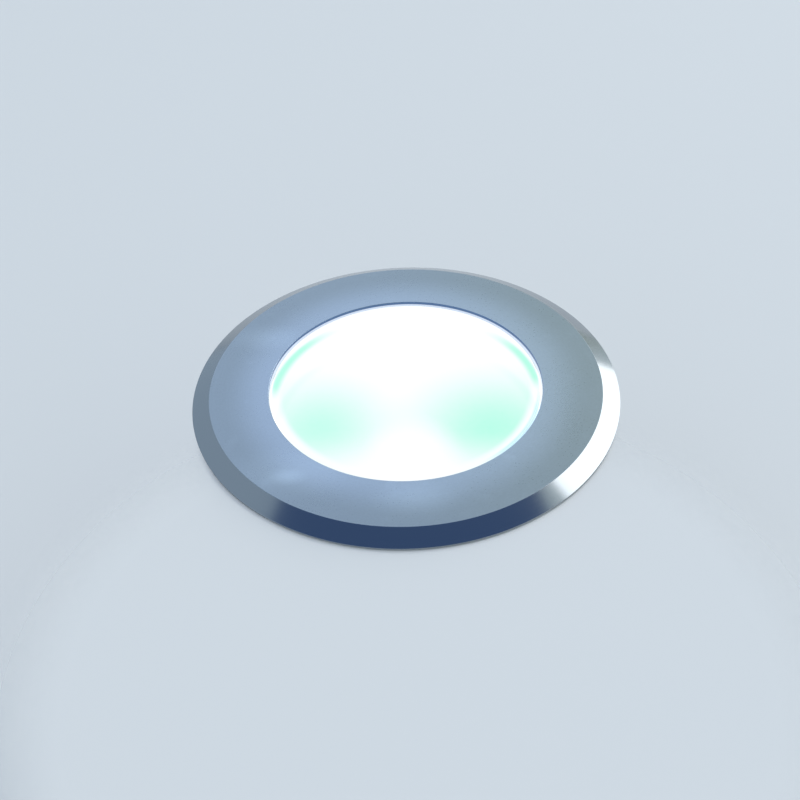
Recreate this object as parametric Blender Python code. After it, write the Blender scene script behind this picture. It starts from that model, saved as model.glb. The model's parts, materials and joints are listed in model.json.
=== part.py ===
# Recessed floor light. A stainless bezel ring clamps a stepped glass onto a finned housing with one
# LED, and two sprung clips hold that luminaire in a plastic sleeve which stays in the floor.
# Metres, +Z up. The origin is the centre of the sleeve's underside, and the clips lie on the X axis.

import math

import bmesh
import bpy
from mathutils import Matrix, Vector

# Clearances
SEAT = 0.0003
RUNNING = 0.00015
OVERRUN = 0.0010
WELD = 0.000001

# Facets round a full turn
RING_FACETS = 56
BODY_FACETS = 40
SEAL_FACETS = 32
OPTIC_FACETS = 24
SMALL_FACETS = 14
SCREW_FACETS = 8

# Bezel ring
BEVEL_WIDTH = 0.0033
BEVEL_HEIGHT = 0.00187
LAND_HEIGHT = 0.0005
EDGE_BREAK = 0.0002
FOOT_WIDTH = 0.0027
FOOT_CHAMFER = 0.0003
LIP_THICKNESS = 0.0017
LIP_OVERLAP = 0.0023
SKIRT_WALL = 0.0020
SKIRT_DEPTH = 0.0130
UNDERSIDE_LIFT = 0.0004

# Seal under the bezel
FLANGE_GASKET_THICKNESS = 0.0006
FLANGE_GASKET_SETBACK = 0.0007

# Glass and its seal
GLASS_RECESS = 0.0005
GLASS_GAP = 0.0004
GLASS_EDGE_BEVEL = 0.0004
SHOULDER_THICKNESS = 0.0045
GLASS_GASKET_THICKNESS = 0.0008
GLASS_GASKET_WALL = 0.0005
GLASS_GASKET_SETBACK = 0.0004

# Sleeve
COLLAR_WIDTH = 0.0047
COLLAR_THICKNESS = 0.0025
COLLAR_CHAMFER = 0.0008
SLEEVE_WALL = 0.0022
SLEEVE_CLEARANCE = 0.0013
BASE_THICKNESS = 0.0026
WIRING_HEIGHT = 0.0240
ANCHOR_RING_COUNT = 2
ANCHOR_RING_WIDTH = 0.0025
ANCHOR_RING_THICKNESS = 0.0020
ANCHOR_RIB_COUNT = 8
ANCHOR_RIB_WIDTH = 0.0019
ANCHOR_RIB_THICKNESS = 0.0020
ENTRY_BORE_RADIUS = 0.0080
ENTRY_WALL = 0.0016
ENTRY_LENGTH = 0.0035
ENTRY_LIFT = 0.0020
DRAIN_COUNT = 4
DRAIN_RADIUS = 0.0018
DRAIN_EDGE = 0.0083

# Blanking plug in the second cable entry
PLUG_HEAD_THICKNESS = 0.0015
PLUG_HEAD_OVERLAP = 0.0012
PLUG_BODY_LENGTH = 0.0050
PLUG_DISH_RADIUS = 0.0050
PLUG_DISH_DEPTH = 0.0006

# Housing
NECK_WALL = 0.0041
NECK_CHAMFER = 0.0003
REFLECTOR_LEDGE_DEPTH = 0.0005
O_RING_SECTION = 0.0015
O_RING_GROOVE_DEPTH = 0.0018
O_RING_GROOVE_DROP = 0.0014
PLATE_THICKNESS = 0.0017
PLATE_SETBACK = 0.0010
FIN_LENGTH = 0.0055
FIN_TIP_SETBACK = 0.0005
FIN_THICKNESS = 0.0016
FIN_COUNT = 30
CORE_WALL = 0.0045
OPTIC_DEPTH = 0.0134
OPTIC_CONE_TOP = 0.0029
OPTIC_CONE_HEIGHT = 0.0020
WEB_THICKNESS = 0.0030
REAR_FLANGE_HEIGHT = 0.0050
STANDOFF_RADIUS = 0.0025
STANDOFF_HEIGHT = 0.0030

# Reflector
REFLECTOR_WALL = 0.0012
REFLECTOR_MOUTH_MARGIN = 0.0008
REFLECTOR_FLANGE_THICKNESS = 0.0013
REFLECTOR_GAP = 0.0006
REFLECTOR_CURVE_POWER = 1.7
REFLECTOR_STEPS = 5

# LED board stack
THERMAL_PAD_GAP = 0.0005
THERMAL_PAD_THICKNESS = 0.0005
LED_BOARD_THICKNESS = 0.0016
EMITTER_WIDTH = 0.0050
EMITTER_THICKNESS = 0.0007
EMITTER_DOME_RADIUS = 0.0019
EMITTER_DOME_HEIGHT = 0.0012
BOARD_SCREW_RADIUS = 0.0010
BOARD_SCREW_HEAD_RADIUS = 0.0016
BOARD_SCREW_HEAD_HEIGHT = 0.0013
LED_SCREW_GAP = 0.0008
LED_SCREW_EDGE = 0.0021
LED_SCREW_GRIP = 0.0020

# Lens and its holder
HOLDER_WALL = 0.0008
HOLDER_HEIGHT = 0.0061
HOLDER_LIP = 0.0018
HOLDER_FLOOR = 0.0008
LENS_RADIUS = 0.0066
LENS_FLANGE_THICKNESS = 0.0008
LENS_FLANGE_WIDTH = 0.0007
LENS_CROWN = 0.0004
LENS_GAP = 0.0009
LENS_FOOT_RADIUS = 0.0034
LENS_HOLLOW_RADIUS = 0.0025
LENS_HOLLOW_DEPTH = 0.0022

# Driver
DRIVER_BOARD_RADIUS = 0.0178
DRIVER_BOARD_GAP = 0.0017
DRIVER_BOARD_THICKNESS = 0.0016
DRIVER_SCREW_EDGE = 0.0043
DRIVER_SCREW_GRIP = 0.0030
DRIVER_CLEARANCE = 0.0013
PART_SPACING = 0.0030
INDUCTOR_RADIUS = 0.0048
INDUCTOR_HEIGHT = 0.0075
INDUCTOR_WAIST = 0.0009
INDUCTOR_CHEEK = 0.0012
CAPACITOR_RADIUS = 0.0040
CAPACITOR_HEIGHT = 0.0085
CAPACITOR_EDGE = 0.0005
TERMINAL_LENGTH = 0.0096
TERMINAL_WIDTH = 0.0070
TERMINAL_HEIGHT = 0.0068
TERMINAL_CHAMFER = 0.0012
TERMINAL_BORE_RADIUS = 0.0015
CHIP_LENGTH = 0.0060
CHIP_WIDTH = 0.0048
CONTROLLER_HEIGHT = 0.0016
RECTIFIER_HEIGHT = 0.0023
CHIP_CHAMFER = 0.0003

# Leads from the driver to the LED
LEAD_RADIUS = 0.00055
LEAD_SPREAD = 0.0022
LEAD_ARCH_RADIUS = 0.0013
LEAD_HOLE_GAP = 0.00055
LEAD_SOLDER_EDGE = 0.0017
LEAD_STEPS = 10

# Rear cover
COVER_THICKNESS = 0.0035
COVER_GASKET_THICKNESS = 0.0008
COVER_GASKET_WIDTH = 0.0018
COVER_GASKET_SETBACK = 0.0004
COVER_EDGE_CHAMFER = 0.0006
COVER_SCREW_COUNT = 4
COVER_SCREW_MARGIN = 0.00055
COVER_SCREW_RADIUS = 0.0015
COVER_SCREW_HEAD_RADIUS = 0.0027
COVER_SCREW_HEAD_HEIGHT = 0.0017
COVER_SCREW_LENGTH = 0.0062

# Cable gland
GLAND_THREAD_RADIUS = 0.0077
GLAND_BORE_RADIUS = 0.0042
GLAND_HEX_LAND = 0.0023
GLAND_HEX_HEIGHT = 0.0040
GLAND_HEX_CHAMFER = 0.0004
GLAND_BARREL_WALL = 0.0010
GLAND_BARREL_LENGTH = 0.0055
GLAND_SEAL_WALL = 0.0016
GLAND_SEAL_SEAT_DEPTH = 0.0046
GLAND_NUT_WALL = 0.00195
GLAND_NUT_HEX_HEIGHT = 0.0055
GLAND_NUT_HEIGHT = 0.0090
GLAND_NUT_MOUTH_WALL = 0.0020

# Spring clips
POCKET_SIDE_GAP = 0.0003
BRACKET_THICKNESS = 0.0010
BRACKET_EAR_THICKNESS = 0.0009
BRACKET_EAR_RADIUS = 0.0019
BRACKET_EAR_ROOT = 0.0034
BRACKET_TOP = 0.0050
BRACKET_SCREW_RADIUS = 0.0012
BRACKET_SCREW_HEAD_RADIUS = 0.0019
BRACKET_SCREW_HEAD_HEIGHT = 0.0012
BRACKET_SCREW_GRIP = 0.0016
BRACKET_SCREW_DROP = 0.0052
BRACKET_SCREW_SPACING = 0.0044
BRACKET_SCREW_EDGE = 0.0032
POCKET_DEPTH = 0.0014
PIN_RADIUS = 0.0010
PIN_HEAD_RADIUS = 0.0016
PIN_HEAD_THICKNESS = 0.0005
SPRING_WIRE = 0.0007
SPRING_PIN_GAP = 0.00025
SPRING_TURNS = 4
SPRING_PITCH = 0.0012
SPRING_TURN_POINTS = 10
SPRING_MOVING_LEG = 0.0070
ARM_SIDE_GAP = 0.0002
ARM_THICKNESS = 0.0009
ARM_EAR_THICKNESS = 0.0008
ARM_EAR_RADIUS = 0.0018
ARM_LENGTH = 0.0155
ARM_WEB_START = 0.0026
ARM_EAR_LENGTH = 0.0090
ARM_TIP_WIDTH = 0.0052
BOOT_WALL = 0.0005
BOOT_LENGTH = 0.0045
EAR_ARC_STEPS = 6

# Socket in a screw head, as shares of that head
SOCKET_RADIUS_SHARE = 0.45
SOCKET_DEPTH_SHARE = 0.5
HEAD_CROWN_SHARE = 0.25

# Radii of the LED and its leads, from the lens outward
holder_bore = LENS_RADIUS - LENS_FLANGE_WIDTH + SEAT
holder_radius = holder_bore + HOLDER_WALL
reflector_foot = holder_radius + REFLECTOR_GAP
led_screw_radius = reflector_foot + REFLECTOR_WALL + LED_SCREW_GAP + BOARD_SCREW_HEAD_RADIUS
led_board_radius = led_screw_radius + LED_SCREW_EDGE
thermal_pad_radius = led_screw_radius - BOARD_SCREW_RADIUS - THERMAL_PAD_GAP
lead_inner = led_board_radius - LEAD_SOLDER_EDGE
lead_outer = lead_inner + LEAD_ARCH_RADIUS * 2

# Radii, from the driver board outward to the bezel's rim
driver_screw_circle = DRIVER_BOARD_RADIUS - DRIVER_SCREW_EDGE
cavity_radius = DRIVER_BOARD_RADIUS + DRIVER_BOARD_GAP
core_radius = cavity_radius + CORE_WALL
fin_radius = core_radius + FIN_LENGTH
plate_radius = fin_radius + FIN_TIP_SETBACK
skirt_radius = plate_radius + PLATE_SETBACK
bore_radius = skirt_radius + SLEEVE_CLEARANCE
sleeve_radius = bore_radius + SLEEVE_WALL
collar_radius = bore_radius + COLLAR_WIDTH
ring_radius = collar_radius + SEAT + FOOT_WIDTH
drain_circle = bore_radius - DRAIN_EDGE

# Radii, from the bezel's skirt inward to the glass
skirt_bore = skirt_radius - SKIRT_WALL
neck_radius = skirt_bore - SEAT
shoulder_radius = neck_radius - GLASS_GASKET_WALL - SEAT
opening_radius = shoulder_radius - LIP_OVERLAP
plug_radius = opening_radius - GLASS_GAP
glass_gasket_bore = opening_radius + GLASS_GASKET_SETBACK
reflector_flange_radius = glass_gasket_bore - SEAT
neck_bore = neck_radius - NECK_WALL

# Radii of the rear cover's seal and screws, and of the gland
cover_gasket_bore = cavity_radius + COVER_GASKET_SETBACK + SEAT
cover_gasket_radius = cover_gasket_bore + COVER_GASKET_WIDTH
cover_screw_circle = cover_gasket_radius + SEAT + COVER_SCREW_MARGIN + COVER_SCREW_RADIUS + RUNNING
barrel_bore = GLAND_BORE_RADIUS + RUNNING + GLAND_SEAL_WALL + SEAT
barrel_radius = barrel_bore + GLAND_BARREL_WALL
nut_bore = barrel_radius + SEAT
gland_hex_across = (GLAND_THREAD_RADIUS + GLAND_HEX_LAND) * 2
gland_nut_across = (nut_bore + GLAND_NUT_WALL) * 2

# Depths below the floor, from the bezel down
ring_height = BEVEL_HEIGHT + LAND_HEIGHT
lip_depth = LIP_THICKNESS - ring_height
shoulder_top = lip_depth + SEAT + GLASS_GASKET_THICKNESS + SEAT
shoulder_bottom = shoulder_top + SHOULDER_THICKNESS
glass_gasket_bottom = shoulder_bottom + SEAT + GLASS_GASKET_THICKNESS
rim_depth = glass_gasket_bottom + SEAT
groove_top = rim_depth + O_RING_GROOVE_DROP
groove_height = O_RING_SECTION + SEAT + SEAT
plate_top = SKIRT_DEPTH + SEAT
plate_bottom = plate_top + PLATE_THICKNESS
web_top = rim_depth + OPTIC_DEPTH
web_bottom = web_top + WEB_THICKNESS
pad_bottom = web_top - SEAT
pad_top = pad_bottom - THERMAL_PAD_THICKNESS
led_board_bottom = pad_top - SEAT
led_board_top = led_board_bottom - LED_BOARD_THICKNESS
on_led_board = led_board_top - SEAT
standoff_bottom = web_bottom + STANDOFF_HEIGHT
driver_board_top = standoff_bottom + SEAT
driver_board_bottom = driver_board_top + DRIVER_BOARD_THICKNESS
on_driver_board = driver_board_bottom + SEAT
housing_bottom = on_driver_board + CAPACITOR_HEIGHT + DRIVER_CLEARANCE
rear_flange_top = housing_bottom - REAR_FLANGE_HEIGHT
cover_top = housing_bottom + SEAT
cover_bottom = cover_top + COVER_THICKNESS
hex_top = cover_bottom + SEAT
hex_bottom = hex_top + GLAND_HEX_HEIGHT
nut_top = hex_bottom + SEAT
luminaire_depth = nut_top + GLAND_NUT_HEIGHT

# Heights
floor_level = BASE_THICKNESS + WIRING_HEIGHT + luminaire_depth
ring_top = floor_level + ring_height
entry_height = BASE_THICKNESS + ENTRY_LIFT + ENTRY_WALL + ENTRY_BORE_RADIUS

# Clip frame: x points outward from the pivot, y lies along the pin
spring_radius = PIN_RADIUS + SPRING_PIN_GAP + SPRING_WIRE / 2
coil_reach = spring_radius + SPRING_WIRE / 2
spring_fixed_leg = BRACKET_TOP - SPRING_WIRE
bracket_front = -(coil_reach + SEAT)
bracket_back = bracket_front - BRACKET_THICKNESS
bracket_screw_drops = (BRACKET_SCREW_DROP, BRACKET_SCREW_DROP + BRACKET_SCREW_SPACING)
bracket_bottom = bracket_screw_drops[-1] + BRACKET_SCREW_EDGE
pocket_floor_radius = core_radius - POCKET_DEPTH
pivot_radius = pocket_floor_radius + SEAT - bracket_back
pivot_depth = plate_bottom + SEAT + BRACKET_TOP
arm_inner_half = SPRING_TURNS * SPRING_PITCH / 2 + SPRING_WIRE / 2 + SEAT
arm_half_width = arm_inner_half + ARM_EAR_THICKNESS
bracket_inner_half = arm_half_width + ARM_SIDE_GAP
bracket_half_width = bracket_inner_half + BRACKET_EAR_THICKNESS
pin_half_length = bracket_half_width + RUNNING
pocket_half_width = pin_half_length + PIN_HEAD_THICKNESS + POCKET_SIDE_GAP
boot_half_thickness = ARM_THICKNESS / 2 + SEAT + BOOT_WALL
boot_half_width = ARM_TIP_WIDTH / 2 + SEAT + BOOT_WALL
boot_bottom = ARM_LENGTH + SEAT + BOOT_WALL


def clip_rest_angle():
    """The tilt at which the boot's outer corner meets the sleeve's bore, less the seat gap."""
    wall = math.sqrt((bore_radius - SEAT) ** 2 - boot_half_width**2) - pivot_radius
    reach = math.hypot(boot_half_thickness, boot_bottom)
    return math.asin(wall / reach) - math.atan2(boot_half_thickness, boot_bottom)


def at_depth(depth):
    return floor_level - depth


def finish(name, colour, roughness, metallic=0.0, alpha=1.0, emission=0.0):
    material = bpy.data.materials.new(name)
    material.use_nodes = True
    shader = material.node_tree.nodes["Principled BSDF"]
    shader.inputs["Base Color"].default_value = (*colour, 1.0)
    shader.inputs["Roughness"].default_value = roughness
    shader.inputs["Metallic"].default_value = metallic
    shader.inputs["Alpha"].default_value = alpha
    shader.inputs["Emission Color"].default_value = (*colour, 1.0)
    shader.inputs["Emission Strength"].default_value = emission
    return material


def new_object(name, shape, material=None, location=(0, 0, 0), rotation=(0, 0, 0), parent=None):
    """Makes an object of a bmesh whose faces are turned outward, shaded smooth below a sharp edge."""
    bmesh.ops.recalc_face_normals(shape, faces=shape.faces)
    mesh = bpy.data.meshes.new(name)
    shape.to_mesh(mesh)
    shape.free()
    mesh.shade_smooth()
    mesh.set_sharp_from_angle(angle=math.radians(30))
    piece = bpy.data.objects.new(name, mesh)
    bpy.context.scene.collection.objects.link(piece)
    piece.location = location
    piece.rotation_euler = rotation
    piece.parent = parent
    if material:
        mesh.materials.append(material)
    return piece


def spun(outline, facets):
    """Turns an outline of (radius, height) points about Z. It is closed unless it ends on the axis."""
    shape = bmesh.new()
    points = [shape.verts.new((radius, 0, height)) for radius, height in outline]
    edges = [shape.edges.new(pair) for pair in zip(points, points[1:])]
    if outline[0][0] > 0:
        edges.append(shape.edges.new((points[-1], points[0])))
    bmesh.ops.spin(
        shape, geom=points + edges, axis=(0, 0, 1), cent=(0, 0, 0), angle=math.tau, steps=facets
    )
    bmesh.ops.remove_doubles(shape, verts=shape.verts, dist=WELD)
    return shape


def add_cylinder(shape, radius, start, end, facets=SMALL_FACETS):
    """Adds a closed cylinder between two points."""
    start, end = Vector(start), Vector(end)
    turn = (end - start).to_track_quat("Z", "Y").to_matrix().to_4x4()
    bmesh.ops.create_cone(
        shape,
        cap_ends=True,
        segments=facets,
        radius1=radius,
        radius2=radius,
        depth=(end - start).length,
        matrix=Matrix.Translation((start + end) / 2) @ turn,
    )


def add_block(shape, low, high, turn=0.0):
    """Adds a closed block between two corners, then turns it about Z."""
    low, high = Vector(low), Vector(high)
    place = Matrix.Translation((low + high) / 2) @ Matrix.Diagonal((*(high - low), 1.0))
    bmesh.ops.create_cube(shape, size=1.0, matrix=Matrix.Rotation(turn, 4, "Z") @ place)


def add_extrusion(shape, outline, low, high):
    """Adds a closed prism: an outline of (x, z) points, from low to high along y."""
    base = shape.faces.new([shape.verts.new((x, low, z)) for x, z in outline])
    grown = bmesh.ops.extrude_face_region(shape, geom=[base], use_keep_orig=True)
    top = [item for item in grown["geom"] if isinstance(item, bmesh.types.BMVert)]
    bmesh.ops.translate(shape, verts=top, vec=(0, high - low, 0))


def hexagon(across, top, bottom, chamfer):
    shape = bmesh.new()
    corner = across / 2 / math.cos(math.pi / 6)
    add_cylinder(shape, corner, (0, 0, bottom), (0, 0, top), facets=6)
    level = [edge for edge in shape.edges if abs(edge.verts[0].co.z - edge.verts[1].co.z) < WELD]
    bmesh.ops.bevel(shape, geom=level, offset=chamfer, segments=1, affect="EDGES")
    return shape


def combine(piece, shape, operation):
    """Joins or cuts a piece with a helper shape, which stays in the file as a hidden wire object."""
    helper = new_object(f"{piece.name}_{operation.lower()}_{len(piece.modifiers)}", shape)
    helper.hide_render = True
    helper.display_type = "WIRE"
    helper.parent = piece.parent
    helper.location = piece.location
    helper.rotation_euler = piece.rotation_euler
    modifier = piece.modifiers.new(operation.title(), "BOOLEAN")
    modifier.operation = operation
    modifier.object = helper
    modifier.solver = "EXACT"


def ring_angles(count, start=0.0):
    return [start + math.tau * number / count for number in range(count)]


def around(radius, angle, height):
    return (radius * math.cos(angle), radius * math.sin(angle), height)


def screw(
    name, radius, length, head_radius, head_height, material, location, rotation=(0, 0, 0), parent=None
):
    """A pan-head screw that points down its own Z, with the head's underside at the location."""
    socket_radius = head_radius * SOCKET_RADIUS_SHARE
    outline = [
        (0, head_height * (1 - SOCKET_DEPTH_SHARE)),
        (socket_radius, head_height * (1 - SOCKET_DEPTH_SHARE)),
        (socket_radius, head_height),
        (head_radius * (1 - HEAD_CROWN_SHARE), head_height),
        (head_radius, head_height * (1 - HEAD_CROWN_SHARE)),
        (head_radius, 0),
        (radius, 0),
        (radius, -length),
        (0, -length),
    ]
    return new_object(name, spun(outline, SCREW_FACETS), material, location, rotation, parent)


def front_ring(material):
    recess_radius = collar_radius + SEAT
    recess_bore = bore_radius + FLANGE_GASKET_SETBACK
    recess_top = floor_level + SEAT + FLANGE_GASKET_THICKNESS + SEAT
    underside = floor_level + UNDERSIDE_LIFT
    outline = [
        (opening_radius + EDGE_BREAK, ring_top),
        (ring_radius - BEVEL_WIDTH, ring_top),
        (ring_radius, ring_top - BEVEL_HEIGHT),
        (ring_radius, floor_level + FOOT_CHAMFER),
        (ring_radius - FOOT_CHAMFER, floor_level),
        (recess_radius, floor_level),
        (recess_radius, recess_top),
        (recess_bore, recess_top),
        (recess_bore, underside),
        (skirt_radius, underside),
        (skirt_radius, at_depth(SKIRT_DEPTH)),
        (skirt_bore, at_depth(SKIRT_DEPTH)),
        (skirt_bore, at_depth(lip_depth)),
        (opening_radius, at_depth(lip_depth)),
        (opening_radius, ring_top - EDGE_BREAK),
    ]
    new_object("front_ring", spun(outline, RING_FACETS), material)


def flange_gasket(material):
    inner = bore_radius + FLANGE_GASKET_SETBACK + SEAT
    low = floor_level + SEAT
    high = low + FLANGE_GASKET_THICKNESS
    outline = [(inner, high), (collar_radius, high), (collar_radius, low), (inner, low)]
    new_object("flange_gasket", spun(outline, SEAL_FACETS), material)


def cover_glass(material):
    top = ring_top - GLASS_RECESS
    outline = [
        (0, top),
        (plug_radius - GLASS_EDGE_BEVEL, top),
        (plug_radius, top - GLASS_EDGE_BEVEL),
        (plug_radius, at_depth(shoulder_top)),
        (shoulder_radius, at_depth(shoulder_top)),
        (shoulder_radius, at_depth(shoulder_bottom)),
        (0, at_depth(shoulder_bottom)),
    ]
    new_object("cover_glass", spun(outline, RING_FACETS), material)


def glass_gasket(material):
    wall_radius = neck_radius - GLASS_GASKET_WALL
    top = at_depth(shoulder_top) + SEAT
    bottom = at_depth(shoulder_bottom) - SEAT
    outline = [
        (glass_gasket_bore, top + GLASS_GASKET_THICKNESS),
        (neck_radius, top + GLASS_GASKET_THICKNESS),
        (neck_radius, bottom - GLASS_GASKET_THICKNESS),
        (glass_gasket_bore, bottom - GLASS_GASKET_THICKNESS),
        (glass_gasket_bore, bottom),
        (wall_radius, bottom),
        (wall_radius, top),
        (glass_gasket_bore, top),
    ]
    new_object("glass_gasket", spun(outline, SEAL_FACETS), material)


def neck_o_ring(material):
    section = O_RING_SECTION / 2
    centre = neck_radius - O_RING_GROOVE_DEPTH + SEAT + section
    height = at_depth(groove_top + SEAT + section)
    outline = [
        (centre + section * math.cos(angle), height + section * math.sin(angle))
        for angle in ring_angles(6)
    ]
    new_object("neck_o_ring", spun(outline, SEAL_FACETS), material)


def reflector_radius(share):
    """The bowl's inner radius at a share of its height, steep at the foot and shallow at the mouth."""
    mouth = reflector_flange_radius - REFLECTOR_MOUTH_MARGIN
    return reflector_foot + (mouth - reflector_foot) * share**REFLECTOR_CURVE_POWER


def reflector(material):
    foot = at_depth(on_led_board)
    top = at_depth(shoulder_bottom + SEAT)
    flange_bottom = top - REFLECTOR_FLANGE_THICKNESS
    flange_share = (flange_bottom - foot) / (top - foot)
    shares = [step / REFLECTOR_STEPS for step in range(REFLECTOR_STEPS + 1)]
    inside = [(reflector_radius(share), foot + share * (top - foot)) for share in shares]
    outside = [
        (reflector_radius(share * flange_share) + REFLECTOR_WALL, foot + share * (flange_bottom - foot))
        for share in shares
    ]
    rim = [(reflector_flange_radius, top), (reflector_flange_radius, flange_bottom)]
    new_object("reflector", spun(inside + rim + outside[::-1], SEAL_FACETS), material)


def add_clip_pockets(shape, floor_radius, top, bottom):
    """Adds the two blocks that clear the clips, from a flat floor outward, between two depths."""
    for side in (-1, 1):
        near, far = sorted((side * floor_radius, side * (plate_radius + OVERRUN)))
        low = (near, -pocket_half_width, at_depth(bottom))
        add_block(shape, low, (far, pocket_half_width, at_depth(top)))


def housing(material):
    ledge_radius = reflector_flange_radius + SEAT
    ledge = rim_depth + REFLECTOR_LEDGE_DEPTH
    groove_radius = neck_radius - O_RING_GROOVE_DEPTH
    cone_top = rim_depth + OPTIC_CONE_TOP
    outline = [
        (0, web_top),
        (cavity_radius, web_top),
        (cavity_radius, cone_top + OPTIC_CONE_HEIGHT),
        (neck_bore, cone_top),
        (neck_bore, ledge),
        (ledge_radius, ledge),
        (ledge_radius, rim_depth),
        (neck_radius - NECK_CHAMFER, rim_depth),
        (neck_radius, rim_depth + NECK_CHAMFER),
        (neck_radius, groove_top),
        (groove_radius, groove_top),
        (groove_radius, groove_top + groove_height),
        (neck_radius, groove_top + groove_height),
        (neck_radius, plate_top),
        (plate_radius, plate_top),
        (plate_radius, plate_bottom),
        (core_radius, plate_bottom),
        (core_radius, rear_flange_top),
        (plate_radius, rear_flange_top),
        (plate_radius, housing_bottom),
        (cavity_radius, housing_bottom),
        (cavity_radius, web_bottom),
        (0, web_bottom),
    ]
    outline = [(radius, at_depth(depth)) for radius, depth in outline]
    piece = new_object("housing", spun(outline, BODY_FACETS), material)

    added = bmesh.new()
    pocket_angle = math.asin((pocket_half_width + FIN_THICKNESS / 2) / core_radius)
    fin_low = at_depth(rear_flange_top + OVERRUN)
    fin_high = at_depth(plate_bottom - OVERRUN)
    for angle in ring_angles(FIN_COUNT, math.pi / FIN_COUNT):
        if abs(math.sin(angle)) > math.sin(pocket_angle):
            low = (core_radius - OVERRUN, -FIN_THICKNESS / 2, fin_low)
            add_block(added, low, (fin_radius, FIN_THICKNESS / 2, fin_high), angle)
    for side in (-1, 1):
        x = side * driver_screw_circle
        root = at_depth(web_bottom) + OVERRUN
        add_cylinder(added, STANDOFF_RADIUS, (x, 0, at_depth(standoff_bottom)), (x, 0, root))
    combine(piece, added, "UNION")

    cut = bmesh.new()
    add_clip_pockets(cut, pocket_floor_radius, plate_bottom, housing_bottom + OVERRUN)
    combine(piece, cut, "DIFFERENCE")

    holes = bmesh.new()
    for angle in ring_angles(COVER_SCREW_COUNT, math.pi / COVER_SCREW_COUNT):
        end = cover_screw_seat() - COVER_SCREW_LENGTH - SEAT
        low = around(cover_screw_circle, angle, at_depth(housing_bottom + OVERRUN))
        high = around(cover_screw_circle, angle, at_depth(end))
        add_cylinder(holes, COVER_SCREW_RADIUS + RUNNING, low, high, SCREW_FACETS)
    for side in (-1, 1):
        for drop in bracket_screw_drops:
            depth = pivot_depth + drop
            start = side * (pocket_floor_radius + OVERRUN)
            end = side * (pocket_floor_radius - BRACKET_SCREW_GRIP - SEAT)
            ends = [(x, 0, at_depth(depth)) for x in (start, end)]
            add_cylinder(holes, BRACKET_SCREW_RADIUS + RUNNING, *ends, SCREW_FACETS)
        x = side * led_screw_radius
        ends = [(x, 0, at_depth(depth)) for depth in (web_top + LED_SCREW_GRIP + SEAT, web_top - OVERRUN)]
        add_cylinder(holes, BOARD_SCREW_RADIUS + RUNNING, *ends, SCREW_FACETS)
        x = side * driver_screw_circle
        depths = (standoff_bottom + OVERRUN, standoff_bottom - DRIVER_SCREW_GRIP - SEAT)
        ends = [(x, 0, at_depth(depth)) for depth in depths]
        add_cylinder(holes, BOARD_SCREW_RADIUS + RUNNING, *ends, SCREW_FACETS)
        x = side * LEAD_SPREAD
        ends = [(x, lead_outer, at_depth(depth)) for depth in (web_bottom + OVERRUN, web_top - OVERRUN)]
        add_cylinder(holes, LEAD_RADIUS + LEAD_HOLE_GAP, *ends, SCREW_FACETS)
    combine(piece, holes, "DIFFERENCE")


def thermal_pad(material):
    shape = bmesh.new()
    ends = [(0, 0, at_depth(pad_bottom)), (0, 0, at_depth(pad_top))]
    add_cylinder(shape, thermal_pad_radius, *ends, OPTIC_FACETS)
    new_object("thermal_pad", shape, material)


def led_board(material):
    shape = bmesh.new()
    ends = [(0, 0, at_depth(led_board_bottom)), (0, 0, at_depth(led_board_top))]
    add_cylinder(shape, led_board_radius, *ends, OPTIC_FACETS)
    piece = new_object("led_board", shape, material)
    holes = bmesh.new()
    for side in (-1, 1):
        x = side * led_screw_radius
        depths = (led_board_bottom + OVERRUN, led_board_top - OVERRUN)
        ends = [(x, 0, at_depth(depth)) for depth in depths]
        add_cylinder(holes, BOARD_SCREW_RADIUS + RUNNING, *ends, SCREW_FACETS)
    combine(piece, holes, "DIFFERENCE")


def led_board_screws(material):
    length = (web_top + LED_SCREW_GRIP) - on_led_board
    for side, word in ((-1, "left"), (1, "right")):
        place = (side * led_screw_radius, 0, at_depth(on_led_board))
        screw(f"led_board_screw_{word}", BOARD_SCREW_RADIUS, length, BOARD_SCREW_HEAD_RADIUS,
              BOARD_SCREW_HEAD_HEIGHT, material, place)


def led_emitter(material):
    shape = bmesh.new()
    half = EMITTER_WIDTH / 2
    low = at_depth(on_led_board)
    add_block(shape, (-half, -half, low), (half, half, low + EMITTER_THICKNESS))
    piece = new_object("led_emitter", shape, material)
    outline = [
        (0, low + EMITTER_THICKNESS + EMITTER_DOME_HEIGHT),
        (EMITTER_DOME_RADIUS * math.sin(math.pi / 4), low + EMITTER_THICKNESS
         + EMITTER_DOME_HEIGHT * math.cos(math.pi / 4)),
        (EMITTER_DOME_RADIUS, low + EMITTER_THICKNESS),
        (EMITTER_DOME_RADIUS, low + EMITTER_THICKNESS / 2),
        (0, low + EMITTER_THICKNESS / 2),
    ]
    combine(piece, spun(outline, SMALL_FACETS), "UNION")


def lens_holder(material):
    low = at_depth(on_led_board)
    outline = [
        (holder_bore - HOLDER_LIP, low),
        (holder_radius, low),
        (holder_radius, low + HOLDER_HEIGHT),
        (holder_bore, low + HOLDER_HEIGHT),
        (holder_bore, low + HOLDER_FLOOR),
        (holder_bore - HOLDER_LIP, low + HOLDER_FLOOR),
    ]
    new_object("lens_holder", spun(outline, OPTIC_FACETS), material)


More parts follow.
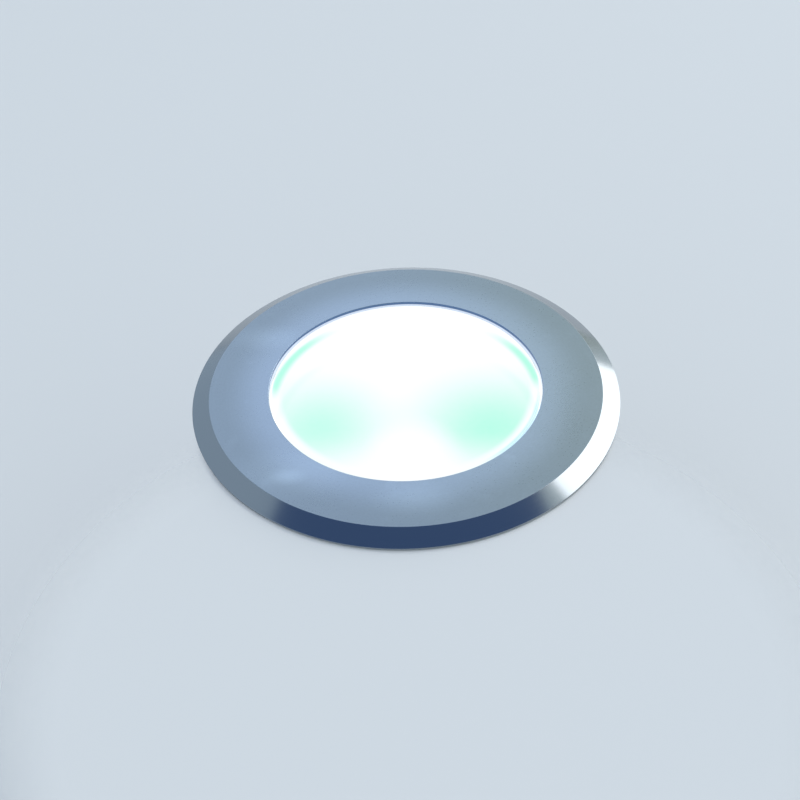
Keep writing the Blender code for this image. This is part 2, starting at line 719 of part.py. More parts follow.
def lens(material):
    flange_low = at_depth(on_led_board) + HOLDER_HEIGHT + SEAT
    flange_high = flange_low + LENS_FLANGE_THICKNESS
    foot = at_depth(on_led_board) + EMITTER_THICKNESS + LENS_GAP
    outline = [
        (0, foot + LENS_HOLLOW_DEPTH),
        (LENS_HOLLOW_RADIUS, foot + LENS_HOLLOW_DEPTH),
        (LENS_HOLLOW_RADIUS, foot),
        (LENS_FOOT_RADIUS, foot),
        (LENS_RADIUS - LENS_FLANGE_WIDTH, flange_low),
        (LENS_RADIUS, flange_low),
        (LENS_RADIUS, flange_high),
        (LENS_RADIUS / 2, flange_high + LENS_CROWN),
        (0, flange_high + LENS_CROWN),
    ]
    new_object("lens", spun(outline, OPTIC_FACETS), material)


def driver_board(material):
    shape = bmesh.new()
    ends = [(0, 0, at_depth(driver_board_bottom)), (0, 0, at_depth(driver_board_top))]
    add_cylinder(shape, DRIVER_BOARD_RADIUS, *ends, OPTIC_FACETS)
    piece = new_object("driver_board", shape, material)
    holes = bmesh.new()
    for side in (-1, 1):
        x = side * driver_screw_circle
        depths = (driver_board_bottom + OVERRUN, driver_board_top - OVERRUN)
        ends = [(x, 0, at_depth(depth)) for depth in depths]
        add_cylinder(holes, BOARD_SCREW_RADIUS + RUNNING, *ends, SCREW_FACETS)
    combine(piece, holes, "DIFFERENCE")


def driver_screws(material):
    length = on_driver_board - standoff_bottom + DRIVER_SCREW_GRIP
    for side, word in ((-1, "left"), (1, "right")):
        place = (side * driver_screw_circle, 0, at_depth(on_driver_board))
        screw(f"driver_screw_{word}", BOARD_SCREW_RADIUS, length, BOARD_SCREW_HEAD_RADIUS,
              BOARD_SCREW_HEAD_HEIGHT, material, place, (math.pi, 0, 0))


def driver_parts(ferrite, can, terminal_plastic, chip_plastic):
    """The parts under the driver board: two tall ones behind, the terminal in front, chips beside it."""
    top = at_depth(on_driver_board)
    waist = INDUCTOR_RADIUS - INDUCTOR_WAIST
    low = top - INDUCTOR_HEIGHT
    outline = [
        (0, top),
        (INDUCTOR_RADIUS, top),
        (INDUCTOR_RADIUS, top - INDUCTOR_CHEEK),
        (waist, top - INDUCTOR_CHEEK),
        (waist, low + INDUCTOR_CHEEK),
        (INDUCTOR_RADIUS, low + INDUCTOR_CHEEK),
        (INDUCTOR_RADIUS, low),
        (0, low),
    ]
    behind = PART_SPACING * 2
    place = (-INDUCTOR_RADIUS - PART_SPACING, behind, 0)
    new_object("driver_inductor", spun(outline, SMALL_FACETS), ferrite, place)

    low = top - CAPACITOR_HEIGHT
    outline = [
        (0, top),
        (CAPACITOR_RADIUS, top),
        (CAPACITOR_RADIUS, low + CAPACITOR_EDGE),
        (CAPACITOR_RADIUS - CAPACITOR_EDGE, low),
        (0, low),
    ]
    place = (CAPACITOR_RADIUS + PART_SPACING, behind, 0)
    new_object("driver_capacitor", spun(outline, SMALL_FACETS), can, place)

    half = TERMINAL_LENGTH / 2
    near = -PART_SPACING * 2
    far = near - TERMINAL_WIDTH
    low = top - TERMINAL_HEIGHT
    shape = bmesh.new()
    profile = [(-half, top), (half, top), (half, low), (-half, low)]
    add_extrusion(shape, profile, far, near)
    lower = [
        edge for edge in shape.edges
        if all(abs(point.co.z - low) < WELD and point.co.y < near - WELD for point in edge.verts)
    ]
    bmesh.ops.bevel(shape, geom=lower, offset=TERMINAL_CHAMFER, segments=1, affect="EDGES")
    piece = new_object("driver_terminal", shape, terminal_plastic)
    holes = bmesh.new()
    for side in (-1, 1):
        x = side * half / 2
        z = top - TERMINAL_HEIGHT / 2
        ends = [(x, far - OVERRUN, z), (x, far + TERMINAL_WIDTH / 2, z)]
        add_cylinder(holes, TERMINAL_BORE_RADIUS, *ends, SCREW_FACETS)
    combine(piece, holes, "DIFFERENCE")

    for side, word, height in ((-1, "controller", CONTROLLER_HEIGHT), (1, "rectifier", RECTIFIER_HEIGHT)):
        near_x = half + PART_SPACING / 2
        x = sorted((side * near_x, side * (near_x + CHIP_WIDTH)))
        y = near + PART_SPACING / 2
        shape = bmesh.new()
        add_block(shape, (x[0], y - CHIP_LENGTH, top - height), (x[1], y, top))
        under = [edge for edge in shape.edges if all(point.co.z < top - WELD for point in edge.verts)]
        bmesh.ops.bevel(shape, geom=under, offset=CHIP_CHAMFER, segments=1, affect="EDGES")
        new_object(f"driver_{word}", shape, chip_plastic)


def wire(name, points, radius, material, parent=None, location=(0, 0, 0), resolution=1):
    """A round wire along the given points, with closed ends."""
    curve = bpy.data.curves.new(name, "CURVE")
    curve.dimensions = "3D"
    curve.bevel_depth = radius
    curve.bevel_resolution = resolution
    curve.use_fill_caps = True
    spline = curve.splines.new("POLY")
    spline.points.add(len(points) - 1)
    for point, place in zip(spline.points, points):
        point.co = (*place, 1)
    curve.materials.append(material)
    piece = bpy.data.objects.new(name, curve)
    piece.parent = parent
    piece.location = location
    bpy.context.scene.collection.objects.link(piece)
    return piece


def led_leads(positive, negative):
    """Each lead climbs from the driver board through the web, then arches over onto the LED board."""
    arch = at_depth(on_led_board)
    start = at_depth(driver_board_top - SEAT)
    centre = lead_inner + LEAD_ARCH_RADIUS
    for side, word, material in ((-1, "negative", negative), (1, "positive", positive)):
        x = side * LEAD_SPREAD
        points = [(x, lead_outer, start), (x, lead_outer, (start + arch) / 2)]
        for step in range(LEAD_STEPS + 1):
            angle = math.pi * step / LEAD_STEPS
            y = centre + LEAD_ARCH_RADIUS * math.cos(angle)
            points.append((x, y, arch + LEAD_ARCH_RADIUS * math.sin(angle)))
        wire(f"led_lead_{word}", points, LEAD_RADIUS, material)


def cover_screw_seat():
    """The depth of the counterbore's floor in the rear cover, where a screw head's underside lies."""
    return cover_bottom - COVER_SCREW_HEAD_HEIGHT


def rear_cover(cover_material, gasket_material, screw_material):
    groove_floor = cover_top + COVER_GASKET_THICKNESS + SEAT
    port = GLAND_THREAD_RADIUS + RUNNING
    outline = [
        (port, cover_top),
        (cover_gasket_bore - SEAT, cover_top),
        (cover_gasket_bore - SEAT, groove_floor),
        (cover_gasket_radius + SEAT, groove_floor),
        (cover_gasket_radius + SEAT, cover_top),
        (plate_radius, cover_top),
        (plate_radius, cover_bottom - COVER_EDGE_CHAMFER),
        (plate_radius - COVER_EDGE_CHAMFER, cover_bottom),
        (port, cover_bottom),
    ]
    outline = [(radius, at_depth(depth)) for radius, depth in outline]
    piece = new_object("rear_cover", spun(outline, BODY_FACETS), cover_material)
    holes = bmesh.new()
    sinks = bmesh.new()
    seat = cover_screw_seat()
    for angle in ring_angles(COVER_SCREW_COUNT, math.pi / COVER_SCREW_COUNT):
        low, middle, high = (
            around(cover_screw_circle, angle, at_depth(depth))
            for depth in (cover_bottom + OVERRUN, seat - SEAT, cover_top - OVERRUN)
        )
        add_cylinder(holes, COVER_SCREW_RADIUS + RUNNING, low, high, SCREW_FACETS)
        add_cylinder(sinks, COVER_SCREW_HEAD_RADIUS + SEAT, low, middle, SMALL_FACETS)
    add_clip_pockets(sinks, core_radius, cover_top - OVERRUN, cover_bottom + OVERRUN)
    combine(piece, holes, "DIFFERENCE")
    combine(piece, sinks, "DIFFERENCE")

    outline = [
        (cover_gasket_bore, at_depth(cover_top)),
        (cover_gasket_radius, at_depth(cover_top)),
        (cover_gasket_radius, at_depth(cover_top + COVER_GASKET_THICKNESS)),
        (cover_gasket_bore, at_depth(cover_top + COVER_GASKET_THICKNESS)),
    ]
    new_object("rear_gasket", spun(outline, SEAL_FACETS), gasket_material)

    for number, angle in enumerate(ring_angles(COVER_SCREW_COUNT, math.pi / COVER_SCREW_COUNT), 1):
        screw(f"rear_cover_screw_{number}", COVER_SCREW_RADIUS, COVER_SCREW_LENGTH,
              COVER_SCREW_HEAD_RADIUS, COVER_SCREW_HEAD_HEIGHT, screw_material,
              around(cover_screw_circle, angle, at_depth(seat)), (math.pi, 0, 0))


def cable_gland(metal, seal_material):
    """The body screws up into the cover. Its seal is squeezed in the barrel by the domed nut below."""
    top = at_depth(cover_top)
    hex_high, hex_low = at_depth(hex_top), at_depth(hex_bottom)
    barrel_low = hex_low - GLAND_BARREL_LENGTH
    outline = [
        (0, top),
        (GLAND_THREAD_RADIUS, top),
        (GLAND_THREAD_RADIUS, (hex_high + hex_low) / 2),
        (barrel_radius, (hex_high + hex_low) / 2),
        (barrel_radius, barrel_low),
        (0, barrel_low),
    ]
    piece = new_object("gland_body", spun(outline, OPTIC_FACETS), metal)
    combine(piece, hexagon(gland_hex_across, hex_high, hex_low, GLAND_HEX_CHAMFER), "UNION")
    seat_high = barrel_low + GLAND_SEAL_SEAT_DEPTH
    outline = [
        (0, top + OVERRUN),
        (GLAND_BORE_RADIUS, top + OVERRUN),
        (GLAND_BORE_RADIUS, seat_high),
        (barrel_bore, seat_high),
        (barrel_bore, barrel_low - OVERRUN),
        (0, barrel_low - OVERRUN),
    ]
    combine(piece, spun(outline, OPTIC_FACETS), "DIFFERENCE")

    inner = GLAND_BORE_RADIUS + RUNNING
    seal_high = seat_high - SEAT
    outline = [
        (inner, seal_high),
        (inner + GLAND_SEAL_WALL, seal_high),
        (inner + GLAND_SEAL_WALL, barrel_low),
        (inner, barrel_low),
    ]
    new_object("gland_seal", spun(outline, OPTIC_FACETS), seal_material)

    nut_high = at_depth(nut_top)
    nut_low = at_depth(luminaire_depth)
    hex_end = nut_high - GLAND_NUT_HEX_HEIGHT
    mouth = inner + GLAND_NUT_MOUTH_WALL
    outline = [
        (0, hex_end + GLAND_NUT_HEX_HEIGHT / 2),
        (gland_nut_across / 2 - GLAND_HEX_CHAMFER, hex_end + GLAND_NUT_HEX_HEIGHT / 2),
        (gland_nut_across / 2 - GLAND_HEX_CHAMFER, hex_end - (hex_end - nut_low) / 3),
        (mouth, nut_low),
        (0, nut_low),
    ]
    piece = new_object("gland_nut", spun(outline, OPTIC_FACETS), metal)
    combine(piece, hexagon(gland_nut_across, nut_high, hex_end, GLAND_HEX_CHAMFER), "UNION")
    outline = [
        (0, nut_high + OVERRUN),
        (nut_bore, nut_high + OVERRUN),
        (nut_bore, barrel_low - SEAT),
        (inner, barrel_low - SEAT),
        (inner, nut_low - OVERRUN),
        (0, nut_low - OVERRUN),
    ]
    combine(piece, spun(outline, OPTIC_FACETS), "DIFFERENCE")


def mounting_sleeve(material):
    """The plastic sleeve, with anchoring rings and ribs outside and two conduit entries low down."""
    anchor_radius = sleeve_radius + ANCHOR_RING_WIDTH
    collar_low = floor_level - COLLAR_THICKNESS
    spacing = (collar_low - BASE_THICKNESS) / (ANCHOR_RING_COUNT + 1)
    lows = [0] + [BASE_THICKNESS + spacing * number for number in range(1, ANCHOR_RING_COUNT + 1)]
    heights = [BASE_THICKNESS] + [ANCHOR_RING_THICKNESS] * ANCHOR_RING_COUNT
    outline = []
    for low, height in zip(lows, heights):
        outline += [(sleeve_radius, low), (anchor_radius, low)]
        outline += [(anchor_radius, low + height), (sleeve_radius, low + height)]
    outline[0] = (0, 0)
    outline += [
        (sleeve_radius, collar_low),
        (collar_radius, collar_low),
        (collar_radius, floor_level),
        (bore_radius + COLLAR_CHAMFER, floor_level),
        (bore_radius, floor_level - COLLAR_CHAMFER),
        (bore_radius, BASE_THICKNESS),
        (0, BASE_THICKNESS),
    ]
    piece = new_object("mounting_sleeve", spun(outline, BODY_FACETS), material)

    added = bmesh.new()
    half = ANCHOR_RIB_THICKNESS / 2
    for angle in ring_angles(ANCHOR_RIB_COUNT, math.pi / ANCHOR_RIB_COUNT):
        low = (sleeve_radius - OVERRUN, -half, BASE_THICKNESS / 2)
        high = (sleeve_radius + ANCHOR_RIB_WIDTH, half, floor_level - COLLAR_THICKNESS / 2)
        add_block(added, low, high, angle)
    for side in (-1, 1):
        ends = [(side * x, 0, entry_height) for x in (bore_radius + SLEEVE_WALL / 2, entry_end())]
        add_cylinder(added, ENTRY_BORE_RADIUS + ENTRY_WALL, *ends, OPTIC_FACETS)
    combine(piece, added, "UNION")

    cut = bmesh.new()
    for side in (-1, 1):
        near = bore_radius - ENTRY_BORE_RADIUS / 2
        ends = [(side * x, 0, entry_height) for x in (near, entry_end() + OVERRUN)]
        add_cylinder(cut, ENTRY_BORE_RADIUS, *ends, OPTIC_FACETS)
    for angle in ring_angles(DRAIN_COUNT, math.pi / DRAIN_COUNT):
        ends = [around(drain_circle, angle, z) for z in (-OVERRUN, BASE_THICKNESS + OVERRUN)]
        add_cylinder(cut, DRAIN_RADIUS, *ends, SCREW_FACETS)
    combine(piece, cut, "DIFFERENCE")


def entry_end():
    return sleeve_radius + ENTRY_LENGTH


def entry_plug(material):
    """The blanking plug of the left entry, turned about Z and then laid along -X."""
    head = SEAT + PLUG_HEAD_THICKNESS
    outline = [
        (0, head - PLUG_DISH_DEPTH),
        (PLUG_DISH_RADIUS, head - PLUG_DISH_DEPTH),
        (PLUG_DISH_RADIUS + PLUG_DISH_DEPTH, head),
        (ENTRY_BORE_RADIUS + PLUG_HEAD_OVERLAP, head),
        (ENTRY_BORE_RADIUS + PLUG_HEAD_OVERLAP, SEAT),
        (ENTRY_BORE_RADIUS - SEAT, SEAT),
        (ENTRY_BORE_RADIUS - SEAT, SEAT - PLUG_BODY_LENGTH),
        (0, SEAT - PLUG_BODY_LENGTH),
    ]
    place = (-entry_end(), 0, entry_height)
    new_object("entry_plug", spun(outline, OPTIC_FACETS), material, place, (0, -math.pi / 2, 0))


def ear_outline(radius, root):
    """A side plate round the pin, drawn from a root line at x = root[0], with half-height root[1]."""
    arc = [math.pi / 2 - math.pi * step / EAR_ARC_STEPS for step in range(EAR_ARC_STEPS + 1)]
    rounded = [(radius * math.cos(angle), radius * math.sin(angle)) for angle in arc]
    return [(root[0], root[1])] + rounded + [(root[0], -root[1])]


def pin_cutter(half_length):
    shape = bmesh.new()
    add_cylinder(shape, PIN_RADIUS + RUNNING, (0, -half_length, 0), (0, half_length, 0))
    return shape


def clip_bracket(name, material, frame):
    shape = bmesh.new()
    low = (bracket_back, -bracket_half_width, -bracket_bottom)
    add_block(shape, low, (bracket_front, bracket_half_width, BRACKET_TOP))
    piece = new_object(f"{name}_clip_bracket", shape, material, parent=frame)
    ears = bmesh.new()
    outline = ear_outline(BRACKET_EAR_RADIUS, (bracket_front - BRACKET_THICKNESS / 2, BRACKET_EAR_ROOT))
    inner, outer = bracket_inner_half, bracket_half_width
    for low, high in ((-outer, -inner), (inner, outer)):
        add_extrusion(ears, outline, low, high)
    combine(piece, ears, "UNION")
    holes = pin_cutter(pin_half_length + OVERRUN)
    for drop in bracket_screw_drops:
        ends = [(x, 0, -drop) for x in (bracket_back - OVERRUN, bracket_front + OVERRUN)]
        add_cylinder(holes, BRACKET_SCREW_RADIUS + RUNNING, *ends, SCREW_FACETS)
    combine(piece, holes, "DIFFERENCE")


def clip_bracket_screws(name, material, frame):
    head_seat = bracket_front + SEAT
    length = head_seat - (bracket_back - SEAT) + BRACKET_SCREW_GRIP
    for drop, word in zip(bracket_screw_drops, ("upper", "lower")):
        screw(f"{name}_clip_screw_{word}", BRACKET_SCREW_RADIUS, length, BRACKET_SCREW_HEAD_RADIUS,
              BRACKET_SCREW_HEAD_HEIGHT, material, (head_seat, 0, -drop), (0, math.pi / 2, 0), frame)


def clip_pin(name, material, frame):
    outline = [
        (0, pin_half_length + PIN_HEAD_THICKNESS),
        (PIN_HEAD_RADIUS, pin_half_length + PIN_HEAD_THICKNESS),
        (PIN_HEAD_RADIUS, pin_half_length),
        (PIN_RADIUS, pin_half_length),
        (PIN_RADIUS, -pin_half_length),
        (PIN_HEAD_RADIUS, -pin_half_length),
        (PIN_HEAD_RADIUS, -pin_half_length - PIN_HEAD_THICKNESS),
        (0, -pin_half_length - PIN_HEAD_THICKNESS),
    ]
    shape = spun(outline, SMALL_FACETS)
    new_object(f"{name}_clip_pin", shape, material, rotation=(math.pi / 2, 0, 0), parent=frame)


def clip_arm(name, material, frame, tilt):
    """A channel of bent strip: two ears ride on the pin, and the web between them narrows to the tip."""
    shape = bmesh.new()
    half = ARM_THICKNESS / 2
    top, bottom = -ARM_WEB_START, -ARM_LENGTH
    tip = ARM_TIP_WIDTH / 2
    levels = [
        (arm_half_width, top),
        (arm_half_width, -ARM_EAR_LENGTH),
        (tip, bottom + BOOT_LENGTH),
        (tip, bottom),
    ]
    face = levels + [(-y, z) for y, z in levels[::-1]]
    base = shape.faces.new([shape.verts.new((-half, y, z)) for y, z in face])
    grown = bmesh.ops.extrude_face_region(shape, geom=[base], use_keep_orig=True)
    front = [item for item in grown["geom"] if isinstance(item, bmesh.types.BMVert)]
    bmesh.ops.translate(shape, verts=front, vec=(ARM_THICKNESS, 0, 0))
    piece = new_object(f"{name}_clip_arm", shape, material, rotation=(0, -tilt, 0), parent=frame)
    arc = [math.pi * step / EAR_ARC_STEPS for step in range(EAR_ARC_STEPS + 1)]
    outline = [(ARM_EAR_RADIUS * math.cos(angle), ARM_EAR_RADIUS * math.sin(angle)) for angle in arc]
    outline += [(-ARM_EAR_RADIUS, top), (-half / 2, -ARM_EAR_LENGTH), (half / 2, -ARM_EAR_LENGTH)]
    outline += [(ARM_EAR_RADIUS, top)]
    ears = bmesh.new()
    for low, high in ((-arm_half_width, -arm_inner_half), (arm_inner_half, arm_half_width)):
        add_extrusion(ears, outline, low, high)
    combine(piece, ears, "UNION")
    combine(piece, pin_cutter(arm_half_width + OVERRUN), "DIFFERENCE")


def clip_boot(name, material, frame, tilt):
    """The rubber boot over the arm's tip, open at the top."""
    shape = bmesh.new()
    low = (-boot_half_thickness, -boot_half_width, -boot_bottom)
    add_block(shape, low, (boot_half_thickness, boot_half_width, BOOT_LENGTH - boot_bottom))
    piece = new_object(f"{name}_clip_boot", shape, material, rotation=(0, -tilt, 0), parent=frame)
    hollow = bmesh.new()
    half_thickness = boot_half_thickness - BOOT_WALL
    half_width = boot_half_width - BOOT_WALL
    low = (-half_thickness, -half_width, BOOT_WALL - boot_bottom)
    high = (half_thickness, half_width, BOOT_LENGTH - boot_bottom + OVERRUN)
    add_block(hollow, low, high)
    combine(piece, hollow, "DIFFERENCE")


def spring_points(tilt):
    """A torsion spring on the pin. Its moving leg lies behind the arm, its fixed leg on the bracket."""
    leg_x = -(ARM_THICKNESS / 2 + SEAT + SPRING_WIRE / 2)
    leg_length = math.hypot(leg_x, SPRING_MOVING_LEG)
    toward_leg = math.atan2(SPRING_MOVING_LEG, -leg_x)
    start = tilt + toward_leg - math.acos(spring_radius / leg_length)
    sweep = start + math.tau * SPRING_TURNS
    half_span = SPRING_PITCH * sweep / math.tau / 2
    leg_end = (
        leg_x * math.cos(tilt) + SPRING_MOVING_LEG * math.sin(tilt),
        half_span,
        leg_x * math.sin(tilt) - SPRING_MOVING_LEG * math.cos(tilt),
    )
    points = [leg_end]
    steps = round(SPRING_TURN_POINTS * sweep / math.tau)
    for step in range(steps + 1):
        angle = start - sweep * step / steps
        y = half_span * (1 - 2 * step / steps)
        points.append((-spring_radius * math.cos(angle), y, -spring_radius * math.sin(angle)))
    points.append((-spring_radius, -half_span, spring_fixed_leg))
    return points


def least_gap(points, wire_width, apart):
    """The least space between stretches of wire that lie further than a distance along it."""
    places = []
    travelled = 0.0
    for first, second in zip(points, points[1:]):
        first, second = Vector(first), Vector(second)
        length = (second - first).length
        steps = max(1, round(length / (wire_width / 2)))
        for share in (step / steps for step in range(steps)):
            places.append((travelled + length * share, first.lerp(second, share)))
        travelled += length
    gaps = [
        (here - there).length
        for at, here in places
        for later, there in places
        if later - at > apart
    ]
    return min(gaps) - wire_width


def clip(name, side, tilt, spring_steel, steel, rubber):
    """One sprung clip on its frame, an empty on the pivot that is turned to face outward."""
    frame = bpy.data.objects.new(f"{name}_clip_pivot", None)
    frame.location = (side * pivot_radius, 0, at_depth(pivot_depth))
    frame.rotation_euler = (0, 0, 0 if side > 0 else math.pi)
    bpy.context.scene.collection.objects.link(frame)
    clip_bracket(name, steel, frame)
    clip_bracket_screws(name, steel, frame)
    clip_pin(name, steel, frame)
    clip_arm(name, spring_steel, frame, tilt)
    clip_boot(name, rubber, frame, tilt)
    wire(f"{name}_clip_spring", spring_points(tilt), SPRING_WIRE / 2, spring_steel, frame)


def build():
    for piece in list(bpy.data.objects):
        bpy.data.objects.remove(piece)

    stainless = finish("brushed_stainless", (0.55, 0.60, 0.66), 0.28, 1.0)
    glass = finish("frosted_glass", (0.82, 0.97, 0.94), 0.20, alpha=0.45)
    gasket_rubber = finish("gasket_rubber", (0.02, 0.02, 0.022), 0.70)
    silicone = finish("silicone", (0.55, 0.56, 0.55), 0.60)
    cast_aluminium = finish("cast_aluminium", (0.30, 0.31, 0.32), 0.50, 0.9)
    white_plastic = finish("white_plastic", (0.90, 0.92, 0.92), 0.30)
    clear_plastic = finish("clear_plastic", (0.90, 0.96, 0.96), 0.08, alpha=0.5)
    lit = finish("led_phosphor", (0.90, 1.0, 0.97), 0.40, emission=3.0)
    board = finish("board_white", (0.85, 0.86, 0.84), 0.45)
    pad = finish("thermal_pad", (0.35, 0.42, 0.50), 0.80)
    green_board = finish("board_green", (0.02, 0.16, 0.07), 0.40)
    ferrite = finish("ferrite", (0.05, 0.05, 0.05), 0.60)
    can = finish("capacitor_can", (0.55, 0.56, 0.58), 0.35, 0.8)
    terminal = finish("terminal_plastic", (0.05, 0.25, 0.12), 0.45)
    chip = finish("chip_plastic", (0.02, 0.02, 0.02), 0.50)
    red = finish("red_insulation", (0.55, 0.03, 0.03), 0.40)
    black = finish("black_insulation", (0.02, 0.02, 0.02), 0.40)
    nickel = finish("nickel_plate", (0.66, 0.64, 0.60), 0.30, 1.0)
    steel = finish("zinc_steel", (0.58, 0.59, 0.60), 0.38, 1.0)
    spring_steel = finish("spring_steel", (0.42, 0.43, 0.45), 0.30, 1.0)
    black_plastic = finish("sleeve_plastic", (0.035, 0.036, 0.038), 0.55)

    mounting_sleeve(black_plastic)
    entry_plug(gasket_rubber)
    front_ring(stainless)
    flange_gasket(gasket_rubber)
    cover_glass(glass)
    glass_gasket(silicone)
    neck_o_ring(gasket_rubber)
    reflector(white_plastic)
    housing(cast_aluminium)
    thermal_pad(pad)
    led_board(board)
    led_board_screws(steel)
    led_emitter(lit)
    lens_holder(white_plastic)
    lens(clear_plastic)
    driver_board(green_board)
    driver_screws(steel)
    driver_parts(ferrite, can, terminal, chip)
    led_leads(red, black)
    rear_cover(cast_aluminium, gasket_rubber, steel)
    cable_gland(nickel, gasket_rubber)

    tilt = clip_rest_angle()
    for name, side in (("left", -1), ("right", 1)):
        clip(name, side, tilt, spring_steel, steel, gasket_rubber)

    gap = least_gap(spring_points(tilt), SPRING_WIRE, SPRING_WIRE * math.pi)
    print(f"floor level {floor_level:.6f} m, luminaire depth {luminaire_depth:.6f} m")
    print(f"clip pivot at radius {pivot_radius:.6f} m, height {at_depth(pivot_depth):.6f} m")
    print(f"clip tilt at rest {math.degrees(tilt):.3f} degrees")
    print(f"least gap between the spring's turns {gap:.6f} m")


build()
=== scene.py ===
import json
import math

import bmesh
import bpy
from mathutils import Matrix, Vector


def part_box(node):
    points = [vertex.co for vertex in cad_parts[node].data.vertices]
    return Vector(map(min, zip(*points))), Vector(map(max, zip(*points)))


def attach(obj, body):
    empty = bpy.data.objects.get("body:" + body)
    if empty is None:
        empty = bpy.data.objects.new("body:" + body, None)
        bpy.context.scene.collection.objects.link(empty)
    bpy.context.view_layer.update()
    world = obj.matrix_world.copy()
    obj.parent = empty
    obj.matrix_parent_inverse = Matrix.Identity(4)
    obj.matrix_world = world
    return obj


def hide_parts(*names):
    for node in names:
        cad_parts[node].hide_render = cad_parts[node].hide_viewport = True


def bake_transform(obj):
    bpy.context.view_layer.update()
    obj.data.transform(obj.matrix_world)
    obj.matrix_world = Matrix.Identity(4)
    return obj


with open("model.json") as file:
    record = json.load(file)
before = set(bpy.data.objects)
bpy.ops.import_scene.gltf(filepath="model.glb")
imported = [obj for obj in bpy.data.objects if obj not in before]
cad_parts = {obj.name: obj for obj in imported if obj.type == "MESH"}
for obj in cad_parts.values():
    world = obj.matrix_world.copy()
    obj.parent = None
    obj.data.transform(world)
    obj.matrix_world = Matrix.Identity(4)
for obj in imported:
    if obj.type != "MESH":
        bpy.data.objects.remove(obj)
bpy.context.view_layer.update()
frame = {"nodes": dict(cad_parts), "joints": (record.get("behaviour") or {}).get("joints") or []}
nodes = frame["nodes"]
print("frame loaded,", len(nodes), "nodes")


def low(node):
    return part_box(node)[0]


def high(node):
    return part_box(node)[1]


def centre(node):
    return (low(node) + high(node)) / 2


def values(settings, names):
    return [settings[name] for name in names.split()]


floorLevel = high("mounting_sleeve").z
ringTop = high("front_ring").z
ringRadius = high("front_ring").x
collarRadius = high("flange_gasket").x
plateRadius = high("housing").x
pivots = {joint["name"]: Vector(joint["pos_m"]) for joint in frame["joints"] if "pos_m" in joint}
sides = ((-1, "left"), (1, "right"))
seat = 0.0003  # the gap that touching pieces keep
overrun = 0.001  # how far a cutter reaches past what it cuts
past = 0.0001  # the same for a cutter that flares a mouth
photoAzimuth = math.radians(315)  # the side that the photograph was taken from


# Modelling, with the operators of edit and object mode

def activate(piece):
    bpy.ops.object.select_all(action="DESELECT")
    piece.select_set(True)
    bpy.context.view_layer.objects.active = piece


def startEdit(piece, choose="DESELECT"):
    activate(piece)
    bpy.ops.object.mode_set(mode="EDIT")
    bpy.ops.mesh.select_mode(type="VERT")
    bpy.ops.mesh.select_all(action=choose)


def endEdit():
    bpy.ops.object.mode_set(mode="OBJECT")


def selectFaces(piece, test):
    bpy.ops.mesh.select_mode(type="FACE")
    bpy.ops.mesh.select_all(action="DESELECT")
    mesh = bmesh.from_edit_mesh(piece.data)
    for face in filter(test, mesh.faces):
        face.select_set(True)
    mesh.select_flush_mode()
    bmesh.update_edit_mesh(piece.data)


def selectPoints(piece, test):
    mesh = bmesh.from_edit_mesh(piece.data)
    for point in mesh.verts:
        point.select_set(test(point.co))
    mesh.select_flush_mode()
    bmesh.update_edit_mesh(piece.data)


def applyPlace(piece):
    activate(piece)
    bpy.ops.object.transform_apply(location=True, rotation=True, scale=True)


def roundedOutline(points, steps=4, closed=True):
    # a point is (radius, height) or, with a rounded corner, (radius, height, corner radius)
    outline = []
    for index, (x, z, *corner) in enumerate(points):
        here = Vector((x, z))
        if not corner or not (closed or 0 < index < len(points) - 1):
            outline.append(here)
            continue
        before = Vector(points[index - 1][:2]) - here
        after = Vector(points[(index + 1) % len(points)][:2]) - here
        reach = corner[0] / math.tan(before.angle(after) / 2)
        start = here + before.normalized() * reach
        end = here + after.normalized() * reach
        for step in range(steps + 1):
            share = step / steps
            outline.append(start.lerp(here, share).lerp(here.lerp(end, share), share))
    return outline


def turned(name, points, steps=96, corners=4):
    # one point is drawn out along the outline, which is then spun about Z
    closed = points[0][0] > 0
    outline = roundedOutline(points, corners, closed)
    if closed:
        outline.append(outline[0])
    bpy.ops.object.select_all(action="DESELECT")
    bpy.ops.mesh.primitive_plane_add(size=0.001, location=(outline[0].x, 0, outline[0].y))
    piece = bpy.context.object
    piece.name = piece.data.name = name
    applyPlace(piece)
    startEdit(piece, "SELECT")
    bpy.ops.mesh.merge(type="CENTER")
    for here, after in zip(outline, outline[1:]):
        move = (after.x - here.x, 0, after.y - here.y)
        bpy.ops.mesh.extrude_vertices_move(TRANSFORM_OT_translate={"value": move})
    bpy.ops.mesh.select_all(action="SELECT")
    bpy.ops.mesh.spin(steps=steps, angle=math.tau, center=(0, 0, 0), axis=(0, 0, 1))
    bpy.ops.mesh.select_all(action="SELECT")
    bpy.ops.mesh.remove_doubles(threshold=0.000002)
    bpy.ops.mesh.normals_make_consistent(inside=False)
    endEdit()
    return piece


def block(name, lowCorner, highCorner):
    lowCorner, highCorner = Vector(lowCorner), Vector(highCorner)
    bpy.ops.object.select_all(action="DESELECT")
    bpy.ops.mesh.primitive_cube_add(
        size=1, location=(lowCorner + highCorner) / 2, scale=highCorner - lowCorner
    )
    piece = bpy.context.object
    piece.name = piece.data.name = name
    applyPlace(piece)
    return piece


def rod(name, radius, start, end, corners=32):
    start, end = Vector(start), Vector(end)
    bpy.ops.object.select_all(action="DESELECT")
    bpy.ops.mesh.primitive_cylinder_add(
        vertices=corners, radius=radius, depth=(end - start).length, location=(start + end) / 2,
        rotation=(end - start).to_track_quat("Z", "Y").to_euler(),
    )
    piece = bpy.context.object
    piece.name = piece.data.name = name
    applyPlace(piece)
    return piece


def upright(name, radius, x, bottom, top, corners=32):
    return rod(name, radius, (x, 0, bottom), (x, 0, top), corners)


def moved(piece, place):
    piece.matrix_world = place
    applyPlace(piece)
    return piece


